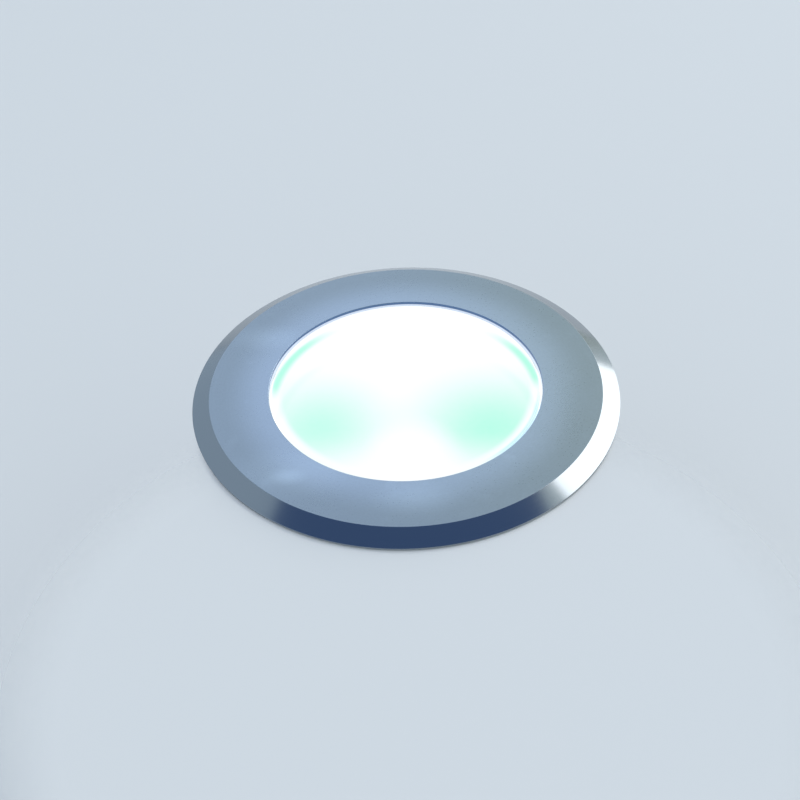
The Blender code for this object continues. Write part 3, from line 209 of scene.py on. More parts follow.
def copied(piece, name, place=Matrix.Identity(4)):
    twin = piece.copy()
    twin.data = piece.data.copy()
    twin.name = twin.data.name = name
    bpy.context.scene.collection.objects.link(twin)
    return moved(twin, place @ piece.matrix_world)


def joined(pieces):
    bpy.ops.object.select_all(action="DESELECT")
    for piece in pieces:
        piece.select_set(True)
    bpy.context.view_layer.objects.active = pieces[0]
    if len(pieces) > 1:
        bpy.ops.object.join()
    return pieces[0]


def aroundAxis(piece, angles):
    # copies of a piece, each turned about Z, joined into one
    copies = [copied(piece, piece.name, Matrix.Rotation(angle, 4, "Z")) for angle in angles]
    bpy.data.objects.remove(piece)
    return joined(copies)


def shrunk(piece, test, scale, middle=(0, 0, 0)):
    # draws in the points that the test picks
    startEdit(piece)
    selectPoints(piece, test)
    bpy.ops.transform.resize(value=scale, center_override=middle)
    endEdit()


def cutAcross(piece, height):
    # a line of points round a piece, at a height
    startEdit(piece, "SELECT")
    bpy.ops.mesh.bisect(plane_co=(0, 0, height), plane_no=(0, 0, 1))
    endEdit()


def combine(piece, other, operation="DIFFERENCE"):
    activate(piece)
    bpy.ops.object.modifier_add(type="BOOLEAN")
    modifier = piece.modifiers[-1]
    modifier.operation = operation
    modifier.object = other
    modifier.solver = "EXACT"
    bpy.ops.object.modifier_apply(modifier=modifier.name)
    bpy.data.objects.remove(other)
    return piece


def smoothed(piece, angle=30):
    # smooth below the angle, with flat faces kept flat beside their rounded edges
    activate(piece)
    bpy.ops.mesh.customdata_custom_splitnormals_clear()
    bpy.ops.object.shade_smooth_by_angle(angle=math.radians(angle))
    bpy.ops.object.modifier_add(type="WEIGHTED_NORMAL")
    modifier = piece.modifiers[-1]
    modifier.keep_sharp = True
    bpy.ops.object.modifier_apply(modifier=modifier.name)
    return piece


def madeWhole(piece):
    # a Boolean leaves flat faces in slivers, which are joined again
    startEdit(piece, "SELECT")
    bpy.ops.mesh.dissolve_limited(angle_limit=math.radians(0.1))
    endEdit()
    return piece


def softened(piece, width, segments=2, angle=30):
    activate(piece)
    bpy.ops.object.modifier_add(type="BEVEL")
    modifier = piece.modifiers[-1]
    modifier.width = width
    modifier.segments = segments
    modifier.limit_method = "ANGLE"
    modifier.angle_limit = math.radians(angle)
    modifier.miter_outer = "MITER_ARC"
    bpy.ops.object.modifier_apply(modifier=modifier.name)
    return smoothed(piece, angle)


def coat(piece, slot, finish=None):
    # the finish has the name of its slot in the record, unless another is given
    piece.data.materials.clear()
    piece.data.materials.append(finish or finishes[slot])


def dress(piece, slot, body, node, finish=None):
    coat(piece, slot, finish)
    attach(piece, body)
    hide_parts(node)


def drillFour(piece, radius, circle, bottom, top, corners=32):
    hole = upright("hole", radius, circle, bottom, top, corners)
    combine(piece, aroundAxis(hole, evenAngles(4, math.pi / 4)))


def ringSeal(name, inner, outer, node, corner, steps=128):
    # a ring of square section, as high as its node
    top, bottom = high(node).z, low(node).z
    outline = [(inner, top, corner), (outer, top, corner), (outer, bottom, corner), (inner, bottom, corner)]
    return smoothed(turned(name, outline, steps, 3))


def disc(name, radius, node, steps=96):
    # a flat round plate with a fine edge, as thick as its node
    top, bottom, edge = high(node).z, low(node).z, 0.0001
    return turned(name, [(0, top), (radius, top, edge), (radius, bottom, edge), (0, bottom)], steps, 2)


def below(depth):
    # the height of a place that is so far below the floor
    return floorLevel - depth


def sunk(*points):
    # an outline whose points give their depths below the floor
    return [(radius, below(depth), *corner) for radius, depth, *corner in points]


def evenAngles(count, start=0.0):
    return [start + math.tau * number / count for number in range(count)]


# Shading

class Wire:
    # wraps a node's output, so that shader maths reads as arithmetic
    def __init__(self, shading, socket):
        self.shading = shading
        self.socket = socket

    def maths(self, operation, first, second=0.0):
        return self.shading.add("ShaderNodeMath", {"operation": operation}, {0: first, 1: second})

    def __add__(self, other):
        return self.maths("ADD", self, other)

    def __radd__(self, other):
        return self.maths("ADD", other, self)

    def __sub__(self, other):
        return self.maths("SUBTRACT", self, other)

    def __rsub__(self, other):
        return self.maths("SUBTRACT", other, self)

    def __mul__(self, other):
        return self.maths("MULTIPLY", self, other)

    def __rmul__(self, other):
        return self.maths("MULTIPLY", other, self)

    def __truediv__(self, other):
        return self.maths("DIVIDE", self, other)

    def __pow__(self, other):
        return self.maths("POWER", self, other)

    def rise(self, start, end):
        # 0 below start, 1 above end, smooth between
        return self.shading.add(
            "ShaderNodeMapRange", {"interpolation_type": "SMOOTHSTEP"}, {0: self, 1: start, 2: end}
        )

    def most(self, other):
        return self.maths("MAXIMUM", self, other)


class Shading:
    def __init__(self, tree):
        self.tree = tree

    def add(self, kind, settings, inputs, output=0):
        node = self.tree.nodes.new(kind)
        for name, value in settings.items():
            setattr(node, name, value)
        for name, value in inputs.items():
            self.feed(node, name, value)
        return Wire(self, node.outputs[output])

    def feed(self, node, name, value):
        if isinstance(value, Wire):
            self.tree.links.new(value.socket, node.inputs[name])
        elif isinstance(value, tuple) and node.inputs[name].type == "RGBA":
            node.inputs[name].default_value = (*value, 1.0)
        else:
            node.inputs[name].default_value = value

    def mixed(self, share, first, second):
        return self.add("ShaderNodeMix", {"data_type": "RGBA"}, {0: share, 6: first, 7: second}, 2)

    def noise(self, place, scale, detail=2.0, roughness=0.5):
        inputs = {"Vector": place, "Scale": scale, "Detail": detail, "Roughness": roughness}
        return self.add("ShaderNodeTexNoise", {}, inputs)

    def parts(self, vector):
        node = self.tree.nodes.new("ShaderNodeSeparateXYZ")
        self.feed(node, "Vector", vector)
        return [Wire(self, socket) for socket in node.outputs]

    def photoParts(self, place):
        # how far across the photograph, away from its viewer, and up
        inputs = {"Vector": place, "Rotation": (0, 0, -photoAzimuth)}
        return self.parts(self.add("ShaderNodeMapping", {}, inputs))


class Finish(Shading):
    # a material, whose patterns lie on Object coordinates in metres
    def __init__(self, name, **constants):
        self.material = bpy.data.materials.new(name)
        self.material.use_nodes = True
        super().__init__(self.material.node_tree)
        self.shader = self.tree.nodes["Principled BSDF"]
        self.place = self.add("ShaderNodeTexCoord", {}, {}, "Object")
        for name, value in constants.items():
            self.set(name, value)

    def set(self, name, value):
        words = [word if word.isupper() else word.capitalize() for word in name.split("_")]
        self.feed(self.shader, " ".join(words), value)

    def bump(self, height, depth):
        inputs = {"Strength": 1.0, "Distance": depth, "Height": height}
        self.set("normal", self.add("ShaderNodeBump", {}, inputs, "Normal"))

    def fromAxis(self):
        # the distance from the light's axis, and the height
        x, y, z = self.parts(self.place)
        return (x * x + y * y) ** 0.5, z


def turnedSteel():
    settings = {
        "colour": (0.49, 0.55, 0.63),
        # the colour of the painted glow: the lit glass's light painted on the face near the opening
        "paintedGlowColour": (0.66, 0.745, 0.91),
        "bevelColour": (0.33, 0.355, 0.385),
        # soft paler spots on the face: painted highlights of the lamps
        "spots": [
            {"centre": (-0.0215, -0.0235), "reach": 0.0048, "strength": 0.24},
            {"centre": (-0.0210, -0.0225), "reach": 0.0150, "strength": 0.17},
            {"centre": (0.0010, -0.0300), "reach": 0.0100, "strength": 0.17},
            {"centre": (-0.0270, 0.0158), "reach": 0.0090, "strength": 0.15},
        ],
        # the painted shade on the wall of the opening
        "paintedWallShade": (0.10, 0.17, 0.32),
        "paintedWallShadeReach": (0.00002, 0.00010),
        "paintedWallShadeDrop": (0.00060, 0.00045),
        "faceRoughness": 0.30,
        "bevelRoughness": 0.11,
        "lineScale": 5200.0,
        "grainScale": 2600.0,
        "paintedGlowWidth": 0.0090,
        "paintedGlowStrength": 0.85,
        "edgeBlur": 0.00005,
        "smudges": (0.60, 0.78),
        "specks": (0.80, 0.84),
        "plain": 0.86,
        "shares": {"grain": 0.16, "lines": 0.06, "cloud": 0.06, "smudges": 0.05, "specks": 0.14},
    }
    finish = Finish("turned stainless steel", metallic=1.0)
    radius, height = finish.fromAxis()
    grain = finish.noise(finish.place, settings["grainScale"], 3.0, 0.6)
    cloud = finish.noise(finish.place, 90.0, 2.0)
    lines = finish.add(
        "ShaderNodeTexNoise", {"noise_dimensions": "1D"},
        {"W": radius * settings["lineScale"] + cloud * 1.5, "Scale": 1.0, "Detail": 2.0},
    )
    edge, opening = bezel["radius"] - bezel["bevelWidth"], bezel["openingRadius"]
    bevel = radius.rise(edge - settings["edgeBlur"], edge + settings["edgeBlur"])
    # painted glow: the face is painted paler and bluer towards the opening, as if lit by the glass
    paintedGlow = 1 - radius.rise(opening, opening + settings["paintedGlowWidth"])
    face = finish.mixed(paintedGlow * settings["paintedGlowStrength"], settings["colour"], settings["paintedGlowColour"])
    smudges = finish.noise(finish.place, 210.0, 3.0, 0.6).rise(*settings["smudges"])
    specks = finish.noise(finish.place, 1100.0, 1.0).rise(*settings["specks"])
    shares = settings["shares"]
    tone = settings["plain"] + grain * shares["grain"] + lines * shares["lines"] + cloud * shares["cloud"]
    tone = (tone + smudges * shares["smudges"]) * (1 - specks * shares["specks"])
    across, away = finish.photoParts(finish.place)[:2]
    # painted highlights: the face is made paler in these soft spots
    paintedHighlight = grain * 0.0  # the start of a sum
    for spot in settings["spots"]:
        offX, offY = across - spot["centre"][0], away - spot["centre"][1]
        distance = (offX * offX + offY * offY * 3.0) ** 0.5
        paintedHighlight = paintedHighlight + (1 - distance.rise(0.0, spot["reach"])) * spot["strength"]
    tone = tone * (1 + paintedHighlight)
    toned = finish.add("ShaderNodeVectorMath", {"operation": "SCALE"}, {"Vector": face, "Scale": tone})
    outside = finish.mixed(bevel, toned, settings["bevelColour"])
    # painted shade: the upper part of the opening's wall is painted dark blue
    wall = 1 - radius.rise(*(opening + reach for reach in settings["paintedWallShadeReach"]))
    wall = wall * height.rise(*(ringTop - drop for drop in settings["paintedWallShadeDrop"]))
    finish.set("base_color", finish.mixed(wall, outside, settings["paintedWallShade"]))
    rough = settings["faceRoughness"] + (grain - 0.5) * 0.12 + (cloud - 0.5) * 0.08
    finish.set("roughness", rough * (1 - bevel) + bevel * (settings["bevelRoughness"] + lines * 0.05))
    finish.bump(lines * (1 - bevel * 0.8) + grain * (0.5 - bevel * 0.45), 0.000006)
    return finish.material


def litGlass():
    # a frosted light, whose green-white glow is weaker in two soft patches and at two crescents
    settings = {
        "white": (1.0, 1.0, 1.0),
        "mint": (0.33, 1.0, 0.68),
        "blue": (0.45, 0.78, 1.0),
        "patches": [
            {"centre": (-0.0160, -0.0104), "size": (0.0190, 0.0200, 0.0134), "strength": 0.74},
            {"centre": (0.0155, -0.0120), "size": (0.0230, 0.0220, 0.0126), "strength": 0.84},
        ],
        "patchBlur": 0.0001,
        "bulge": (0.0010, -0.0220),
        "bulgeNarrowing": 1.45,
        "bulgeSize": (0.0064, 0.0157),
        "rim": (0.0227, 0.0244),
        "crescentDrop": 0.0027,
        "crescentRadius": 0.0248,
        "crescentInside": (-0.0017, -0.0001),
        "crescentOutside": (0.0002, 0.0011),
        "crescentNearEnd": (-0.0030, 0.0020),
        "crescentFarEnd": (0.0105, 0.0185),
        "crescentSlant": 0.08,
        "crescentRim": (0.0248, 0.0253),
        "crescentStrength": 0.95,
        "fringeRadius": (0.0243, 0.0249),
        "fringeAcross": (0.012, 0.019),
        "fringeAway": (-0.008, 0.001),
        "fringeStrength": 0.7,
        "frost": ((0.020, 0.050, 0.045), (0.035, 0.075, 0.065)),
    }
    finish = Finish("lit frosted glass", roughness=0.16, emission_strength=1.0, coat_weight=0.3)
    across, away = finish.photoParts(finish.place)[:2]
    radius = (across * across + away * away) ** 0.5
    frost = finish.noise(finish.place, 900.0, 3.0)
    patches = frost * 0.0  # the start of a sum
    for patch in settings["patches"]:
        offX, offY = across - patch["centre"][0], away - patch["centre"][1]
        isFar = offY.rise(-settings["patchBlur"], settings["patchBlur"])
        wide, far, near = patch["size"]
        reach = isFar * (far - near) + near
        distance = ((offX / wide) ** 2 + (offY / reach) ** 2) ** 0.5
        patches = patches + (1 - distance.rise(0.0, 1.0)) * patch["strength"]
    offX, offY = (across - settings["bulge"][0]) * settings["bulgeNarrowing"], away - settings["bulge"][1]
    outside = ((offX * offX + offY * offY) ** 0.5).rise(*settings["bulgeSize"])
    patches = patches * outside * (1 - radius.rise(*settings["rim"]))
    offY = away + settings["crescentDrop"]
    inner = (across * across + offY * offY) ** 0.5 - settings["crescentRadius"]
    crescent = inner.rise(*settings["crescentInside"]) * (1 - inner.rise(*settings["crescentOutside"]))
    farEnd = (away + across * settings["crescentSlant"]).rise(*settings["crescentFarEnd"])
    crescent = crescent * away.rise(*settings["crescentNearEnd"]) * (1 - farEnd)
    crescent = crescent * (1 - radius.rise(*settings["crescentRim"])) * settings["crescentStrength"]
    mint = patches.most(crescent) * (0.94 + frost * 0.12)
    glow = finish.mixed(mint, settings["white"], settings["mint"])
    fringe = radius.rise(*settings["fringeRadius"]) * across.rise(*settings["fringeAcross"])
    fringe = fringe * (1 - away.rise(*settings["fringeAway"])) * settings["fringeStrength"]
    finish.set("emission_color", finish.mixed(fringe, glow, settings["blue"]))
    finish.set("base_color", finish.mixed(frost, *settings["frost"]))
    finish.set("alpha", 0.88)
    finish.bump(frost, 0.000004)
    return finish.material


def mouldedPlastic(name, colour, roughness, depth=0.00002, scale=2200.0):
    finish = Finish(name)
    texture = finish.noise(finish.place, scale, 3.0, 0.6)
    cloud = finish.noise(finish.place, 70.0, 3.0)
    scuffs = finish.noise(finish.place, 300.0, 6.0, 0.75).rise(0.56, 0.72)
    paler = tuple(value * 1.35 + 0.022 for value in colour)
    finish.set("base_color", finish.mixed(cloud * 0.45 + scuffs * 0.45, colour, paler))
    finish.set("roughness", roughness - 0.06 + cloud * 0.12 + scuffs * 0.08)
    finish.bump(texture, depth)
    return finish.material


def rubber(name, colour, roughness=0.72):
    finish = Finish(name)
    dust = finish.noise(finish.place, 260.0, 5.0, 0.65)
    pores = finish.noise(finish.place, 5200.0, 2.0)
    paler = tuple(value * 1.6 + 0.012 for value in colour)
    finish.set("base_color", finish.mixed(dust.rise(0.35, 0.75) * 0.6, colour, paler))
    finish.set("roughness", roughness + (dust - 0.5) * 0.15)
    finish.bump(pores, 0.000008)
    return finish.material


def castMetal():
    finish = Finish("cast aluminium", metallic=1.0)
    blast = finish.noise(finish.place, 1900.0, 4.0, 0.65)
    flow = finish.noise(finish.place, 120.0, 4.0, 0.6)
    finish.set("base_color", finish.mixed(flow.rise(0.3, 0.7), (0.40, 0.41, 0.42), (0.52, 0.53, 0.54)))
    finish.set("roughness", 0.44 + blast * 0.14)
    finish.bump(blast * 0.7 + flow * 0.3, 0.00004)
    return finish.material


def platedMetal(name, colour, tint, roughness, brushed=0.0):
    # plating with a soft cloudiness, fine scratches and small dull spots
    finish = Finish(name, metallic=1.0)
    cloud = finish.noise(finish.place, 240.0, 3.0)
    stretched = finish.add("ShaderNodeMapping", {}, {"Vector": finish.place, "Scale": (1.0, 1.0, 12.0)})
    scratches = finish.noise(stretched, 700.0, 4.0, 0.6)
    spots = finish.noise(finish.place, 900.0, 2.0).rise(0.68, 0.74)
    finish.set("base_color", finish.mixed(cloud.rise(0.35, 0.7) + spots * 0.4, colour, tint))
    finish.set("roughness", roughness + (scratches - 0.5) * (0.06 + brushed) + spots * 0.10)
    finish.bump(scratches, 0.000001)
    return finish.material


def plasticWithPaintedGlow(name, colour, strength):
    # painted glow: the plastic gives off light of its own, white low down and mint higher up, standing in
    # for the LED's light on the reflector and the cup
    finish = Finish(name, roughness=0.25, emission_strength=strength)
    climb = finish.parts(finish.place)[2].rise(low("reflector").z, high("reflector").z)
    cloud = finish.noise(finish.place, 160.0, 2.0)
    finish.set("base_color", finish.mixed(cloud * 0.4, colour, (0.72, 0.77, 0.76)))
    glow = finish.mixed(climb * 0.7 + cloud * 0.2, (1.0, 1.0, 1.0), (0.55, 1.0, 0.82))
    finish.set("emission_color", glow)
    finish.bump(finish.noise(finish.place, 1500.0, 2.0), 0.000006)
    return finish.material


def clearPlasticWithPaintedGlow():
    # painted glow: the lens gives off a pale green-white light of its own, standing in for the LED's light
    # passing through it
    finish = Finish("clear lens plastic", roughness=0.06, IOR=1.49, emission_strength=0.6)
    cloud = finish.noise(finish.place, 300.0, 2.0)
    finish.set("base_color", finish.mixed(cloud, (0.90, 0.97, 0.96), (0.95, 1.0, 1.0)))
    finish.set("emission_color", finish.mixed(cloud, (0.80, 1.0, 0.94), (1.0, 1.0, 1.0)))
    finish.set("alpha", 0.5)
    return finish.material


def phosphor():
    finish = Finish("lit phosphor", roughness=0.45, emission_strength=2.0)
    dots = finish.noise(finish.place, 3000.0, 2.0)
    die = 1 - finish.fromAxis()[0].rise(0.0015, 0.0020)
    finish.set("base_color", finish.mixed(die, (0.90, 0.90, 0.88), (0.95, 0.90, 0.40)))
    glow = finish.mixed(die * (0.8 + dots * 0.2), (0.10, 0.12, 0.11), (1.0, 1.0, 0.96))
    finish.set("emission_color", glow)
    return finish.material


def circuitBoard(name, colour, copper, pitch):
    # solder mask over straight tracks, which show as paler lines and change direction from patch to patch
    finish = Finish(name, roughness=0.38, coat_weight=0.2)
    x, y = finish.parts(finish.place)[:2]
    inputs = {"Vector": finish.place, "Scale": 170.0, "Randomness": 0.9}
    cells = finish.add("ShaderNodeTexVoronoi", {"distance": "CHEBYCHEV"}, inputs, "Color")
    pick, other = finish.parts(cells)[:2]
    lengthwise = pick.rise(0.499, 0.501)
    along = x * lengthwise + y * (1 - lengthwise)
    stripes = along.maths("FRACT", along / pitch)
    tracks = stripes.rise(0.30, 0.36) * (1 - stripes.rise(0.62, 0.68))
    mask = tracks * other.rise(0.35, 0.36)
    finish.set("base_color", finish.mixed(mask * 0.8, colour, copper))
    finish.bump(mask + finish.noise(finish.place, 2500.0, 2.0) * 0.2, 0.00002)
    return finish.material


def insulation(name, colour):
    finish = Finish(name, roughness=0.35, coat_weight=0.3)
    cloud = finish.noise(finish.place, 400.0, 3.0)
    paler = tuple(value * 1.3 + 0.02 for value in colour)
    finish.set("base_color", finish.mixed(cloud, colour, paler))
    finish.bump(finish.noise(finish.place, 2600.0, 2.0), 0.00001)
    return finish.material


def enamelledCopper():
    finish = Finish("enamelled copper", metallic=1.0, coat_weight=0.6)
    cloud = finish.noise(finish.place, 500.0, 3.0)
    finish.set("base_color", finish.mixed(cloud, (0.58, 0.26, 0.12), (0.70, 0.34, 0.17)))
    finish.set("roughness", 0.24 + cloud * 0.14)
    return finish.material


bezel = {
    "radius": ringRadius,
    "bevelWidth": 0.0033,
    "bevelHeight": 0.00187,
    "openingRadius": 0.0256,
    "lipThickness": 0.0017,
    "skirtRadius": 0.0310,
    "skirtBore": 0.0290,
    "recessBore": 0.0330,
    "recessHeight": 0.0012,
    "undersideLift": 0.0004,
    "innerEdge": 0.00018,
    "fineEdge": 0.00008,
    "rimEdge": 0.0002,
    "footChamfer": 0.0003,
}

finishes = {
    "stainless": turnedSteel(),
    "cover_glass": litGlass(),
    "silicone": rubber("silicone rubber", (0.50, 0.51, 0.50), 0.55),
    "gasket_rubber": rubber("black rubber", (0.022, 0.022, 0.024)),
    "sleeve_plastic": mouldedPlastic("black moulded plastic", (0.030, 0.031, 0.034), 0.50, 0.00003),
    "cast_aluminium": castMetal(),
    "white_plastic": plasticWithPaintedGlow("lit white plastic", (0.80, 0.83, 0.82), 0.22),
    "clear_plastic": clearPlasticWithPaintedGlow(),
    "led_emitter": phosphor(),
    "led_board": circuitBoard("white solder mask", (0.84, 0.85, 0.83), (0.66, 0.66, 0.62), 0.0011),
    "thermal_pad": rubber("thermal pad", (0.34, 0.42, 0.52), 0.8),
    "driver_board": circuitBoard("green solder mask", (0.015, 0.15, 0.06), (0.06, 0.30, 0.12), 0.0009),
    "ferrite": mouldedPlastic("ferrite", (0.05, 0.05, 0.052), 0.6),
    "enamelled_copper": enamelledCopper(),
    "capacitor_can": platedMetal("drawn can", (0.60, 0.61, 0.63), (0.66, 0.67, 0.68), 0.30, 0.08),
    "terminal_plastic": mouldedPlastic("terminal plastic", (0.04, 0.26, 0.12), 0.42),
    "chip_plastic": mouldedPlastic("chip plastic", (0.025, 0.025, 0.027), 0.5),
    "red_insulation": insulation("red insulation", (0.55, 0.03, 0.03)),
    "black_insulation": insulation("black insulation", (0.02, 0.02, 0.022)),
    "nickel_brass": platedMetal("nickel plate", (0.66, 0.64, 0.59), (0.72, 0.70, 0.64), 0.26),
    "plated_steel": platedMetal("zinc plate", (0.60, 0.61, 0.62), (0.66, 0.66, 0.60), 0.34),
    "spring_steel": platedMetal("spring steel", (0.42, 0.43, 0.45), (0.50, 0.50, 0.50), 0.30, 0.10),
}
print("finishes made,", len(finishes))


def makeBezel():
    top, base = ringTop, floorLevel
    skirtBottom = low("front_ring").z
    lip = top - bezel["lipThickness"]
    recessTop = base + bezel["recessHeight"]
    underside = base + bezel["undersideLift"]
    outline = [
        (bezel["openingRadius"], top, bezel["innerEdge"]),
        (bezel["radius"] - bezel["bevelWidth"], top, bezel["fineEdge"]),
        (bezel["radius"], top - bezel["bevelHeight"], bezel["fineEdge"]),
        (bezel["radius"], base + bezel["footChamfer"], bezel["fineEdge"]),
        (bezel["radius"] - bezel["footChamfer"], base),
        (collarRadius + seat, base),
        (collarRadius + seat, recessTop),
        (bezel["recessBore"], recessTop),
        (bezel["recessBore"], underside),
        (bezel["skirtRadius"], underside),
        (bezel["skirtRadius"], skirtBottom, bezel["rimEdge"]),
        (bezel["skirtBore"], skirtBottom, bezel["rimEdge"]),
        (bezel["skirtBore"], lip),
        (bezel["openingRadius"], lip, bezel["rimEdge"]),
    ]
    piece = smoothed(turned("bezel_ring", outline, 256, 3), 20)
    dress(piece, "stainless", "luminaire", "front_ring")


def makeGlass():
    settings = {"plugRadius": 0.0252, "shoulder": 0.0045, "edge": 0.0004, "fineEdge": 0.0002}
    top, bottom = high("cover_glass").z, low("cover_glass").z
    rim = high("cover_glass").x
    step = bottom + settings["shoulder"]
    outline = [
        (0, top),
        (settings["plugRadius"], top, settings["edge"]),
        (settings["plugRadius"], step, settings["fineEdge"]),
        (rim, step, settings["fineEdge"]),
        (rim, bottom, settings["fineEdge"]),
        (0, bottom),
    ]
    piece = smoothed(turned("stepped_glass", outline, 192, 4), 30)
    dress(piece, "cover_glass", "luminaire", "cover_glass")


def makeSeals():
    settings = {
        "rim": {"bore": 0.0333, "edge": 0.0001, "foot": 0.00015, "groove": 0.00012},
        "glass": {"bore": 0.0260, "wall": 0.0005, "lip": 0.0008, "edge": 0.0002},
        "neck": {"section": 0.00074, "squash": 0.86},
    }
    # the bezel's gasket on the sleeve's collar, with a shallow groove round its underside
    inner, edge, foot, groove = values(settings["rim"], "bore edge foot groove")
    bottom, top = low("flange_gasket").z, high("flange_gasket").z
    grooveEdges = [inner + (collarRadius - inner) * share for share in (0.2, 0.4, 0.6, 0.8)]
    outline = [
        (inner, top, edge), (collarRadius, top, edge), (collarRadius, bottom, foot),
        (grooveEdges[3], bottom), (grooveEdges[2], bottom + groove), (grooveEdges[1], bottom + groove),
        (grooveEdges[0], bottom), (inner, bottom, foot),
    ]
    piece = smoothed(turned("rim_gasket", outline, 128, 3))
    dress(piece, "gasket_rubber", "luminaire", "flange_gasket")

    # the U-shaped seal that holds the glass
    bore, wall, lip, edge = values(settings["glass"], "bore wall lip edge")
    outer = high("glass_gasket").x
    top, bottom = high("glass_gasket").z, low("glass_gasket").z
    outline = [
        (bore, top, edge), (outer, top, edge), (outer, bottom, edge), (bore, bottom, edge),
        (bore, bottom + lip, edge), (outer - wall, bottom + lip, edge),
        (outer - wall, top - lip, edge), (bore, top - lip, edge),
    ]
    piece = smoothed(turned("glass_seal", outline, 128, 3))
    dress(piece, "silicone", "luminaire", "glass_gasket")

    # the round seal in the neck's groove
    section, squash = values(settings["neck"], "section squash")
    middle = centre("neck_o_ring").z
    ringCentre = high("neck_o_ring").x - section
    outline = [
        (ringCentre + section * math.cos(angle), middle + section * squash * math.sin(angle))
        for angle in evenAngles(20)
    ]
    piece = smoothed(turned("neck_seal", outline, 128), 60)
    dress(piece, "gasket_rubber", "luminaire", "neck_o_ring")


makeBezel()
makeGlass()
makeSeals()
print("bezel, glass and seals made")


def hexSolid(name, across, bottom, top, chamfer):
    # a hexagon whose corners are turned down at both ends
    corner = across / 2 / math.cos(math.pi / 6)
    piece = upright(name, corner, 0, bottom, top, 6)
    turnedDown = (corner - across / 2) * 0.9
    outline = [
        (0, bottom), (across / 2 - chamfer, bottom), (corner, bottom + turnedDown),
        (corner, top - turnedDown), (across / 2 - chamfer, top), (0, top),
    ]
    return combine(piece, turned("turning", outline, 96), "INTERSECT")


def makeScrew(name, radius, length, headRadius, headHeight):
    # the head's underside lies at height 0, and the shank is cut with V grooves
    pitch = radius * 0.42
    outline = [
        (0, headHeight),
        (headRadius * 0.70, headHeight * 0.98, headRadius * 0.12),
        (headRadius, headHeight * 0.52, headRadius * 0.12),
        (headRadius, 0, headRadius * 0.05),
        (radius, 0),
        (radius, -pitch),
    ]
    for turn in range(int((length - pitch * 3) / pitch)):
        grooveTop = -pitch * (turn + 1)
        outline += [(radius * 0.85, grooveTop - pitch / 2), (radius, grooveTop - pitch)]
    outline += [(radius * 0.72, -length), (0, -length)]
    piece = turned(name, outline, 40, 3)
    socket = upright("socket", headRadius * 0.48, 0, headHeight * 0.45, headHeight * 1.2, 6)
    return smoothed(combine(piece, socket), 28)


def placeScrews(master, rows):
    # a row is (new name, node, place)
    for name, node, place in rows:
        dress(copied(master, name, place), "plated_steel", "luminaire", node)
    bpy.data.objects.remove(master)


def onAxis(x, y, z, upsideDown=False):
    turn = Matrix.Rotation(math.pi if upsideDown else 0, 4, "X")
    return Matrix.Translation((x, y, z)) @ turn


def sleeve():
    settings = {
        "base": 0.0026,
        "wallRadius": 0.0345,
        "boreRadius": 0.0323,
        "anchorThickness": 0.0020,
        "collarThickness": 0.0025,
        "collarChamfer": 0.0008,
        "edge": 0.0004,
        "root": 0.0006,
        "ribLap": 0.0010,
        "ribReach": 0.0019,
        "ribThickness": 0.0020,
        "entryOuter": 0.0096,
        "entryBore": 0.0080,
        "entryEnd": 0.0380,
        "entryReach": 0.0040,
        "entryFlare": 0.0004,
        "spoutStart": 0.0003,
        "drainRadius": 0.0018,
        "drainCircle": 0.0240,
    }
    wall, bore, edge, root = values(settings, "wallRadius boreRadius edge root")
    base, anchor = values(settings, "base anchorThickness")
    collarLow = floorLevel - settings["collarThickness"]
    outline = [(0, base), (bore, base, root), (bore, floorLevel - settings["collarChamfer"])]
    outline += [(bore + settings["collarChamfer"], floorLevel), (collarRadius, floorLevel, edge)]
    outline += [(collarRadius, collarLow, edge), (wall, collarLow, root)]
    for number in (2, 1):
        ringLow = base + (collarLow - base) / 3 * number
        outline += [(wall, ringLow + anchor, root), (collarRadius, ringLow + anchor, edge)]
        outline += [(collarRadius, ringLow, edge), (wall, ringLow, root)]
    outline += [(wall, base, root), (collarRadius, base, edge), (collarRadius, 0, edge), (0, 0)]
    piece = turned("recess_sleeve", outline, 192, 3)

    half = settings["ribThickness"] / 2
    ribLow = (wall - settings["ribLap"], -half, base / 2)
    ribHigh = (wall + settings["ribReach"], half, floorLevel - settings["collarThickness"] / 2)
    rib = softened(block("rib", ribLow, ribHigh), 0.0003, 3)
    combine(piece, aroundAxis(rib, evenAngles(8, math.pi / 8)), "UNION")

    outer, inner, end = values(settings, "entryOuter entryBore entryEnd")
    spoutStart, boreStart = bore + settings["spoutStart"], bore - settings["entryReach"]
    flare = settings["entryFlare"]
    spout = [(0, spoutStart), (outer, spoutStart), (outer, end, edge), (0, end)]
    entry = [
        (0, boreStart), (inner, boreStart), (inner, end - flare),
        (inner + flare + past, end + past), (0, end + past),
    ]
    alongX = Matrix.Translation((0, 0, centre("entry_plug").z)) @ Matrix.Rotation(math.pi / 2, 4, "Y")
    for outline, operation in ((spout, "UNION"), (entry, "DIFFERENCE")):
        master = turned("entry", outline, 96, 3)
        for turn in (0, math.pi):
            form = copied(master, "entry_form", Matrix.Rotation(turn, 4, "Z") @ alongX)
            combine(piece, form, operation)
        bpy.data.objects.remove(master)
    drillFour(piece, settings["drainRadius"], settings["drainCircle"], -overrun, base + overrun)
    smoothed(madeWhole(piece), 32)
    dress(piece, "sleeve_plastic", "sleeve", "mounting_sleeve")


